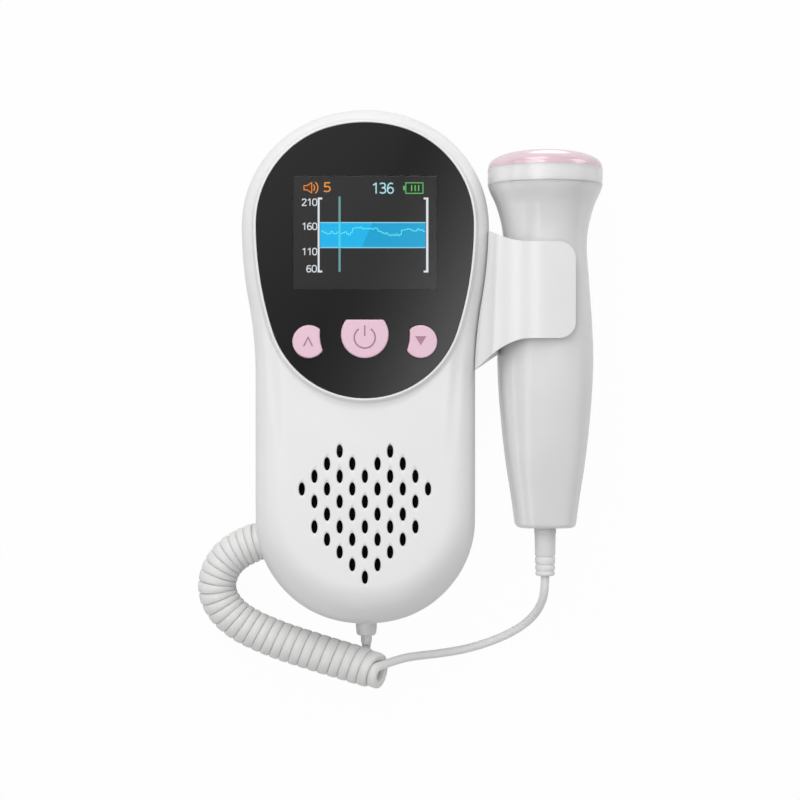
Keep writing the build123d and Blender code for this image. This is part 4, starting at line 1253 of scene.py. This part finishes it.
# ---------------------------------------------------------------- keys
# Three pale pink keys of soft-touch plastic, moulded with a sunk arrow up, a power sign and an arrow down.
# Each is kept in by a flange under the shell's floor, and is pressed down on a switch.
key_top = 31.95
engraving_depth = 0.16
engraving_over = 1.0
flat_face = 0.999
key_pink = moulded("key_pink", (231, 195, 211), 0.36, 0.000003, 0.02)
# The walls and floors of the sunk signs take a darker pink, painted shade in their grooves.
engraving_shade_pink = moulded("engraving_shade_pink", (180, 130, 152), 0.45, 0.000003, 0.02)


def chevron(x, y, half, rise, width):
    """A bent line like a roof."""
    return [
        (x - half, y - rise),
        (x, y + width / 2),
        (x + half, y - rise),
        (x + half - width * 0.9, y - rise),
        (x, y - width),
        (x - half + width * 0.9, y - rise),
    ]


key_icons = {
    "up": [chevron(-16.1, 8.6, 1.5, 2.6, 0.55)],
    "power": [arc_band(0.0, 8.4, 2.75, 3.2, 125, 415, 48), box_shape(-0.22, 0.22, 8.9, 11.9)],
    "down": [[(14.3, 8.8), (17.5, 8.8), (15.9, 6.2)]],
}
for key, shapes in key_icons.items():
    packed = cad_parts[f"{key}_button"]
    cap = bpy.data.objects.new(f"{key}_key_cap", packed.data.copy())
    bpy.context.collection.objects.link(cap)
    shape = bmesh.new()
    shape.from_mesh(cap.data)
    bmesh.ops.remove_doubles(shape, verts=shape.verts, dist=0.000001)
    shape.to_mesh(cap.data)
    shape.free()
    coat(cap, key_pink)
    icon = prism(f"{key}_icon", shapes, key_top - engraving_depth, key_top + engraving_over)
    # The cutter carries the painted shade into the grooves that it cuts.
    coat(icon, engraving_shade_pink)
    cut_away(cap, icon, transfer=True)
    for face in cap.data.polygons:
        face.use_smooth = abs(face.normal.z) < flat_face
    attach(cap, f"{key}_key")
    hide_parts(f"{key}_button")

# ---------------------------------------------------------------- probe holder
# A white C of springy plastic, screwed to the case's side from within, that flares where it meets the case.
# Its front leaf is gently bowed and its free corners are round.
holder_wall = 2.6
holder_front_z = 32.9
holder_back_z = 1.1
holder_end_x = 60.0
holder_spine_x = 38.3
holder_top_y = 35.8
holder_foot_y = 8.3
holder_corner = 4.8
holder_bow = 0.7
holder_crown_x = 38.0
slope_fall = 1.15
crease_depth = 0.16
crease_reach = 0.3
slope_inset = 0.35
slope_foot_z = 24.2
crease_foot_x = 36.4
crease_lean = 1.5
flare_start_x = 47.0
flare_length = 12.0
flare_rise = 3.4
flare_rise_power = 2.2
flare_fall = 5.6
flare_fall_power = 1.9
bow_reach = 14.0
inner_bow = 0.6
inner_round = 3.4
slope_drop = 2.2
spine_drop = 2.8
spine_foot = 6.0
side_gap = 0.05
slope_gap = 0.04
back_round = 12.0
back_slope = 8.0
holder_softening = 0.3
holder_rows = 44
case_half = half_outline(case_arcs, 0.0)


def case_side(y, z):
    """How far the case's side is from its middle, at a height along it and a height above the table."""
    x = np.interp(y, case_half[::-1, 1], case_half[::-1, 0])
    rounding = front_round if z > case_depth / 2 else back_round
    over = z - (case_depth - rounding) if z > case_depth / 2 else rounding - z
    return x - (rounding - sqrt(max(0.0, rounding**2 - max(0.0, over) ** 2)))


def holder_edge(x, top):
    """The height along the case of the holder's top or foot edge at a distance from the middle."""
    flare = max(0.0, (flare_start_x - x) / flare_length)
    if top:
        edge = holder_top_y + flare_rise * flare**flare_rise_power
    else:
        edge = holder_foot_y - flare_fall * flare**flare_fall_power
    past = max(0.0, x - (holder_end_x - holder_corner))
    bend = holder_corner - sqrt(max(0.0, holder_corner**2 - past**2))
    return edge - bend if top else edge + bend


def holder_height(x, share_y):
    """The height along the case at a share of the way from the holder's foot edge to its top edge."""
    foot = holder_edge(x, False)
    return foot + (holder_edge(x, True) - foot) * share_y


def walled(name, rows):
    """A bent plate: rows of matching outer and inner points, skinned over both sides and round all edges."""
    width = len(rows[0][0])
    points = [point for outer, inner in rows for point in (*outer, *inner)]
    faces = []
    for row in range(len(rows)):
        here = row * 2 * width
        above = here + 2 * width
        if row in (0, len(rows) - 1):
            for step in range(width - 1):
                faces.append((here + step, here + step + 1, here + width + step + 1, here + width + step))
        if row == len(rows) - 1:
            break
        for step in range(width - 1):
            faces.append((here + step, here + step + 1, above + step + 1, above + step))
            inner = width + step
            faces.append((here + inner, here + inner + 1, above + inner + 1, above + inner))
        for step in (0, width - 1):
            faces.append((here + step, above + step, above + width + step, here + width + step))
    return piece_of(name, points, faces)


def holder_leaf(share_y, front):
    """Outer and inner points of one leaf, from its free end to the case, at a share of the way up."""
    outer = []
    inner = []
    crease_x = crease_foot_x + crease_lean * share_y
    flip = (lambda z: z) if front else (lambda z: holder_front_z + holder_back_z - z)
    reach = [holder_end_x - (holder_end_x - crease_x) * (1 - cos(pi * k / 40)) / 2 for k in range(41)]
    for x in reach:
        bow = holder_bow * ((x - holder_crown_x) / bow_reach) ** 2
        bow += crease_depth * exp(-(x - crease_x) / crease_reach)
        y = holder_height(x, share_y)
        outer.append((x, y, flip(holder_front_z - bow)))
        inner_x = max(x, holder_spine_x + 0.02 * (x - crease_x))
        bend = max(0.0, inner_round - (inner_x - holder_spine_x))
        drop = inner_round - sqrt(max(0.0, inner_round**2 - bend**2))
        inner.append((inner_x, y, flip(holder_front_z - holder_wall - bow * inner_bow - drop)))
    return outer, inner


# Each row runs from the front leaf's free end to the crease, down the slope to the case, along the case's
# side and out to the back leaf's free end.
plate_rows = []
for row in range(holder_rows + 1):
    share_y = (1 - cos(pi * row / holder_rows)) / 2
    front_outer, front_inner = holder_leaf(share_y, True)
    back_outer, back_inner = holder_leaf(share_y, False)
    crease_x, crease_y, crease_z = front_outer[-1]
    back_x, back_y, back_z = back_outer[-1]
    spine_y, spine_z = front_inner[-1][1:]
    outer = list(front_outer)
    inner = list(front_inner)
    edge_x = case_side(crease_y, parting_z) - slope_inset
    for share in (0.08, 0.4, 0.7, 1.0):
        x = crease_x + (edge_x - crease_x) * share
        z = crease_z + crease_depth - slope_fall * (crease_x - x)
        outer.append((x, holder_height(x, share_y), z))
        inner.append((holder_spine_x, spine_y, spine_z - share * slope_drop))
    slope_foot_y = outer[-1][1]
    outer.append((case_side(slope_foot_y, slope_foot_z) + slope_gap, slope_foot_y, slope_foot_z))
    inner.append((holder_spine_x, spine_y, spine_z - spine_drop))
    for share in (0.25, 0.5, 0.75):
        z = slope_foot_z * (1 - share) + (holder_back_z + back_slope) * share
        x = case_side(crease_y, z) + side_gap
        outer.append((x, holder_height(x, share_y), z))
        z_inner = (spine_z - spine_drop) * (1 - share) + (holder_back_z + spine_foot) * share
        inner.append((holder_spine_x, spine_y, z_inner))
    for share in (1.0, 0.75, 0.5, 0.3, 0.12):
        side = case_side(back_y, back_z + share * back_slope)
        x = back_x + (side + side_gap - back_x) * share**1.15
        outer.append((x, holder_height(x, share_y), back_z + share * back_slope))
        inner.append((holder_spine_x, back_inner[-1][1], back_inner[-1][2] + share * back_slope * 0.35))
    plate_rows.append((outer + back_outer[::-1], inner + back_inner[::-1]))
holder = walled("holder_clip", plate_rows)
softened = holder.modifiers.new("soft_edges", "BEVEL")
softened.width = holder_softening * millimetre
softened.segments = 2
softened.limit_method = "ANGLE"
softened.angle_limit = radians(50)
smoothed(holder, 50)
gloss = {"Coat Weight": 1.0, "Coat Roughness": 0.1}
coat(holder, moulded("clip_plastic", (233, 233, 233), 0.3, 0.000002, others=gloss))
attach(holder, "case")
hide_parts("probe_holder")

# ---------------------------------------------------------------- probe handle
# Two glossy white half shells, round under the head and flatter at the front and back of the grip, pressed
# together with a fine groove all round between them.
probe_x = 52.3
probe_z = 17.0
probe_seam_y = 53.2
probe_foot_y = -46.3
probe_wall = 1.8
seam_groove = 0.16

# Each station holds a distance below the seam under the head, a half width, a half depth and a squareness.
probe_stations = (
    (0.0, 16.69, 16.69, 2.0),
    (1.9, 16.1, 16.1, 2.0),
    (5.4, 14.45, 14.45, 2.0),
    (8.9, 13.35, 13.35, 2.05),
    (12.4, 12.55, 12.5, 2.1),
    (17.6, 12.05, 12.0, 2.25),
    (25.5, 12.5, 12.1, 2.45),
    (34.0, 13.1, 12.3, 2.65),
    (42.5, 13.6, 12.45, 2.8),
    (51.0, 13.85, 12.5, 2.95),
    (61.3, 13.4, 12.2, 3.05),
    (68.3, 12.8, 11.7, 3.15),
    (75.3, 12.1, 11.2, 3.2),
    (82.3, 11.2, 10.5, 3.3),
    (89.3, 10.1, 9.6, 3.35),
    (96.3, 9.1, 8.85, 3.4),
    (99.5, 8.8, 8.6, 3.4),
)


def between_stations(below):
    """Half width, half depth and squareness below the seam, on a smooth curve through the stations."""
    spots = [station[0] for station in probe_stations]
    last = len(spots) - 1
    here = max(1, min(last, int(np.searchsorted(spots, below))))
    around = [probe_stations[max(0, min(last, here + step))] for step in (-2, -1, 0, 1)]
    before, start, end, after = (np.array(station[1:]) for station in around)
    gap = spots[here] - spots[here - 1]
    share = (below - spots[here - 1]) / gap
    gap_before = gap if here < 2 else spots[here - 1] - spots[here - 2]
    gap_after = gap if here == last else spots[here + 1] - spots[here]
    slope_start = (end - before) * gap / (gap + gap_before)
    slope_end = (after - start) * gap / (gap + gap_after)
    square = share * share
    cube = square * share
    return (
        start * (2 * cube - 3 * square + 1)
        + slope_start * (cube - 2 * square + share)
        + end * (3 * square - 2 * cube)
        + slope_end * (cube - square)
    )


handle_length = probe_stations[-1][0]
handle_inside = 97.0
handle_steps = 72
handle_rows = 90
foot_rounding = 1.3
foot_hole = 2.45


def handle_row(below, inset, front, lift=0.0, closing=0.0):
    """Points from one side of the handle to the other, round its front or back, drawn in by inset."""
    half_width, half_depth, squareness = between_stations(min(below, handle_length))
    half_width = (half_width - inset) * (1 - closing) + foot_hole * closing
    half_depth = (half_depth - inset) * (1 - closing) + foot_hole * closing
    squareness = squareness * (1 - closing) + 2.0 * closing
    least = seam_groove if inset < 0.5 and closing < 0.5 else 0.02
    flip = 1 if front else -1
    points = []
    for step in range(handle_steps + 1):
        across, deep = squared(pi * step / handle_steps, squareness)
        z = probe_z + flip * max(half_depth * deep, least)
        points.append((probe_x + half_width * across, probe_seam_y - below + lift, z))
    return points


soft_gloss = {**milky, "Coat Weight": 1.0, "Coat Roughness": 0.22}
probe_white = moulded("probe_white", (226, 226, 226), 0.3, 0.000002, others=soft_gloss)
for name, front in (("probe_front_half", True), ("probe_back_half", False)):
    rows = []
    for row in range(handle_rows + 1):
        below = (handle_length - foot_rounding) * row / handle_rows
        inside = handle_row(min(below, handle_inside), probe_wall, front)
        rows.append((handle_row(below, 0.0, front), inside))
    for step in range(1, 7):
        angle = pi / 2 * step / 6
        below = handle_length - foot_rounding * (1 - sin(angle))
        inset = foot_rounding * (1 - cos(angle))
        inside = handle_row(handle_inside, probe_wall + inset * 0.2, front, -0.1 * step)
        rows.append((handle_row(below, inset, front), inside))
    for closing in (0.15, 0.4, 0.7, 1.0):
        inside = handle_row(handle_inside, probe_wall, front, -0.7, closing)
        rows.append((handle_row(handle_length, foot_rounding, front, 0.0, closing), inside))
    half = walled(name, rows)
    smoothed(half, 38)
    coat(half, probe_white)
    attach(half, "probe")
    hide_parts("probe_front_shell" if front else "probe_back_shell")

# ---------------------------------------------------------------- probe head
# A white ring round the head, and the domed pink face that is pressed on the belly, moulded in one glossy
# piece with the spigot that holds it in the ring.
head_radius = 16.7
ring_hole = 14.5
ring_height = 4.8
spigot_radius = 14.42
spigot_length = 3.0
dome_radius = 16.6
dome_rise = 5.3
dome_lift = 0.04
dome_squareness = 2.37
dome_rows = 24
ring_top_y = probe_seam_y + ring_height
ring_profile = (
    (ring_hole, probe_seam_y + 0.02),
    (head_radius - 0.01, probe_seam_y + 0.02),
    (head_radius, probe_seam_y + 0.04),
    (head_radius, probe_seam_y + 0.1),
    (head_radius, ring_top_y - 0.2),
    (head_radius, ring_top_y - 0.12),
    (head_radius - 0.03, ring_top_y - 0.03),
    (head_radius - 0.1, ring_top_y),
    (ring_hole, ring_top_y),
)
head_ring = turned("head_ring_band", ring_profile, (probe_x, probe_z), 128, closed=True)
# The ring's white is a lighter copy of the handle's: painted light for the light that falls on its sides.
coat(head_ring, moulded("ring_white_painted_lighter", (234, 234, 234), 0.3, 0.000002, others=soft_gloss))
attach(head_ring, "probe")
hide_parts("probe_head_ring")

dome_profile = [
    (0.0, ring_top_y - spigot_length),
    (spigot_radius, ring_top_y - spigot_length),
    (spigot_radius, ring_top_y + 0.01),
    (dome_radius - 0.04, ring_top_y + 0.01),
]
for step in range(dome_rows + 1):
    reach, rise = squared(pi / 2 * step / dome_rows, dome_squareness)
    dome_profile.append((dome_radius * reach, ring_top_y + dome_lift + (dome_rise - dome_lift) * rise))
dome = turned("dome_face", dome_profile, (probe_x, probe_z), 128)
wet_gloss = {"Coat Weight": 1.0, "Coat Roughness": 0.04, "Coat IOR": 1.6}
coat(dome, moulded("dome_pink", (226, 196, 205), 0.2, 0.0000006, 0.02, wet_gloss))
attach(dome, "probe")
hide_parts("transducer_face")

# ---------------------------------------------------------------- strain relief
# A tapered sleeve of soft rubber with three grooves, held in the handle's foot by its flange.
# It keeps the lead from kinking.
relief_radius = 3.2
relief_taper = 0.4
relief_length = 14.2
groove_profile = ((-0.42, 0.0), (-0.3, 0.06), (-0.16, 0.3), (0.16, 0.3), (0.3, 0.06), (0.42, 0.0))
relief_profile = [
    (0.0, -43.1),
    (3.6, -43.1),
    (3.6, -44.5),
    (2.4, -44.5),
    (2.4, -46.3),
    (3.1, -46.32),
    (3.2, -46.5),
    (3.18, -48.0),
    (3.12, -48.25),
    (2.98, -48.35),
    (3.06, -48.6),
]
for below in (8.6, 10.9, 12.8):
    radius = relief_radius - relief_taper * below / relief_length
    for away, sink in groove_profile:
        relief_profile.append((radius - sink, probe_foot_y - below - away))
relief_profile += [(2.78, -60.05), (2.6, -60.35), (2.3, -60.48), (0.0, -60.5)]
relief = turned("relief_sleeve", relief_profile, (probe_x, probe_z), 56)
coat(relief, moulded("relief_rubber", (230, 229, 229), 0.45, 0.00001, others=milky))
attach(relief, "probe")
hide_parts("strain_relief")

# ---------------------------------------------------------------- screen module, board and switches
# The screen's stamped steel frame and amber ribbon, and the green board with its three steel switches, which
# is held to the posts of the front shell by four small screws.
# Where the frame shows through the screen's opening it is painted black, painted shade that hides its lit
# walls.
painted_shade_left, painted_shade_right, painted_shade_foot, painted_shade_top = (side * millimetre for side in (-20.6, 20.6, 22.1, 54.7))
module_finish = Finish(bpy.data.materials.new("frame_metal"))
module_x = module_finish.along("X")
module_y = module_finish.along("Y")
painted_shade_share = between(module_x, painted_shade_left, painted_shade_right) * between(module_y, painted_shade_foot, painted_shade_top)
dressed(
    "display_frame",
    module_finish.surface(
        {
            "Base Color": module_finish.mixed(painted_shade_share, paint(188, 189, 188), paint(4, 4, 4)),
            "Metallic": 1.0 - painted_shade_share,
            "Roughness": module_finish.noise(300.0, 3.0) * 0.15 + 0.25,
        }
    ),
)

ribbon_finish = Finish(bpy.data.materials.new("ribbon_amber"))
ribbon_lines = ribbon_finish.waves(320.0, "X")
dressed(
    "display_ribbon",
    ribbon_finish.surface(
        {
            "Base Color": ribbon_finish.mixed(ribbon_lines > 0.45, paint(196, 128, 44), paint(150, 84, 32)),
            "Roughness": ribbon_lines * 0.1 + 0.28,
        }
    ),
)


def circuit(name):
    """Green lacquer over copper tracks, with small tinned pads."""
    finish = Finish(bpy.data.materials.new(name))
    place = finish.place()
    brick_sockets = {"Vector": place, "Scale": 210.0, "Mortar Size": 0.06, "Mortar Smooth": 0.2}
    tracks = finish.node("ShaderNodeTexBrick", {"offset": 0.37, "squash": 0.6}, brick_sockets, "Fac")
    cell_sockets = {"Vector": place, "Scale": 260.0, "Randomness": 0.35}
    pad = finish.node("ShaderNodeTexVoronoi", {}, cell_sockets, "Distance") < 0.16
    lacquer = finish.mixed(tracks, paint(24, 84, 50), paint(46, 122, 72))
    return finish.surface(
        {
            "Base Color": finish.mixed(pad, lacquer, paint(196, 196, 188)),
            "Metallic": pad,
            "Roughness": 0.38 - 0.1 * pad,
            "Normal": finish.bump(tracks, 0.00003),
        }
    )


dressed("main_board", circuit("board_green"))
dressed("probe_board", circuit("probe_board_green"))

switch_finish = Finish(bpy.data.materials.new("switch_metal"))
switch_body_top = 0.02465
plunger_share = switch_finish.along("Z") > switch_body_top
dressed(
    "key_switches",
    switch_finish.surface(
        {
            "Base Color": switch_finish.mixed(plunger_share, paint(186, 186, 182), paint(18, 18, 18)),
            "Metallic": 1.0 - plunger_share,
            "Roughness": switch_finish.noise(900.0) * 0.12 + 0.26,
        }
    ),
)
screw_steel = metal("screw_steel", (176, 178, 178), 0.3, 0.000004)
for fastener in ("board_screws", "case_screws", "holder_screws"):
    dressed(fastener, screw_steel)

# ---------------------------------------------------------------- speaker
# A small moving-coil speaker: a stamped basket on a black ferrite magnet, a black paper cone with pressed
# rings, a foam gasket, and a woven cloth that keeps dust out of the slots.
basket_foot = 0.0231
speaker_finish = Finish(bpy.data.materials.new("speaker_frame"))
magnet_share = speaker_finish.along("Z") < basket_foot
dressed(
    "speaker",
    speaker_finish.surface(
        {
            "Base Color": speaker_finish.mixed(magnet_share, paint(164, 166, 168), paint(40, 40, 42)),
            "Metallic": 1.0 - magnet_share,
            "Roughness": speaker_finish.noise(700.0) * 0.15 + 0.3,
        }
    ),
)
cone_finish = Finish(bpy.data.materials.new("cone_paper"))
cone_shift = {"Vector": cone_finish.place(), "Location": (0.0, -speaker_y * millimetre, 0.0)}
cone_place = cone_finish.node("ShaderNodeMapping", {}, cone_shift)
ring_settings = {"wave_type": "RINGS", "rings_direction": "Z"}
ring_sockets = {"Vector": cone_place, "Scale": 150.0}
cone_rings = cone_finish.node("ShaderNodeTexWave", ring_settings, ring_sockets, "Fac")
cone_fibre = cone_finish.noise(1800.0, 4.0)
dressed(
    "speaker_cone",
    cone_finish.surface(
        {
            "Base Color": cone_finish.mixed(cone_fibre, paint(16, 16, 17), paint(26, 26, 27)),
            "Roughness": 0.85,
            "Normal": cone_finish.bump(cone_rings * 0.7 + cone_fibre * 0.3, 0.00006),
        }
    ),
)
dressed("speaker_gasket", moulded("gasket_foam", (13, 13, 14), 0.95, 0.00012, 0.2))

mesh_finish = Finish(bpy.data.materials.new("mesh_cloth"))
weft = mesh_finish.waves(700.0, "X")
warp = mesh_finish.waves(700.0, "Y")
dressed(
    "speaker_mesh",
    mesh_finish.surface(
        {
            "Base Color": mesh_finish.mixed(weft * warp, paint(3, 3, 3), paint(12, 12, 12)),
            "Roughness": 0.9,
            "Specular IOR Level": 0.1,
            "Normal": mesh_finish.bump(weft + warp, 0.00004),
        }
    ),
)

# ---------------------------------------------------------------- batteries and contacts
# Two AA cells in printed film sleeves, between nickel-plated contact plates and coil springs that are pressed
# into the ends of the battery box.
minus_cap = 0.0009
plus_cap = 0.0021
nub_depth = 0.0002
nub_half_width = 0.004
bronze_band = (0.0335, 0.0460)
pale_line = (0.0322, 0.0330)


def sleeved(node, name):
    """A cell: bare steel at both ends, and a slate sleeve with a bronze band towards its plus end."""
    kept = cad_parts[node]
    spots = np.array([kept.matrix_world @ corner.co for corner in kept.data.vertices])
    foot, top = spots[:, 1].min(), spots[:, 1].max()
    middle_x = (spots[:, 0].min() + spots[:, 0].max()) / 2
    top_spots = spots[spots[:, 1] > top - nub_depth]
    nub_up = np.abs(top_spots[:, 0] - middle_x).max() < nub_half_width
    finish = Finish(bpy.data.materials.new(name))
    y = finish.along("Y")
    from_minus = (y - float(foot)) if nub_up else (float(top) - y)
    steel = (from_minus < minus_cap) + (from_minus > float(top - foot) - plus_cap)
    sleeve = finish.mixed(between(from_minus, *bronze_band), paint(44, 56, 70), paint(190, 128, 66))
    sleeve = finish.mixed(between(from_minus, *pale_line), sleeve, paint(226, 226, 222))
    shown = finish.surface(
        {
            "Base Color": finish.mixed(steel, sleeve, paint(200, 200, 198)),
            "Metallic": steel,
            "Roughness": finish.noise(500.0) * 0.1 + 0.22,
        }
    )
    dressed(node, shown)


sleeved("left_battery", "left_jacket")
sleeved("right_battery", "right_jacket")
contact_nickel = metal("contact_plate", (204, 201, 192), 0.25, 0.000001)
dressed("battery_contacts", contact_nickel)
dressed("battery_springs", contact_nickel)

# ---------------------------------------------------------------- jack and probe's inner pieces
# The black jack behind the hole in the case's foot, and in the probe two half discs of silvered ceramic on a
# rubber backing that soaks up sound.
dressed("jack_socket", moulded("jack_black", (22, 22, 23), 0.4))
ceramic = Finish(bpy.data.materials.new("crystal_ceramic"))
silvered = ceramic.noise(400.0, 3.0)
dressed(
    "piezo_crystals",
    ceramic.surface(
        {
            "Base Color": ceramic.mixed(silvered, paint(196, 190, 176), paint(212, 208, 198)),
            "Metallic": 0.35,
            "Roughness": silvered * 0.2 + 0.35,
        }
    ),
)
dressed("crystal_backing", moulded("backing_rubber", (40, 40, 42), 0.8, 0.00003))
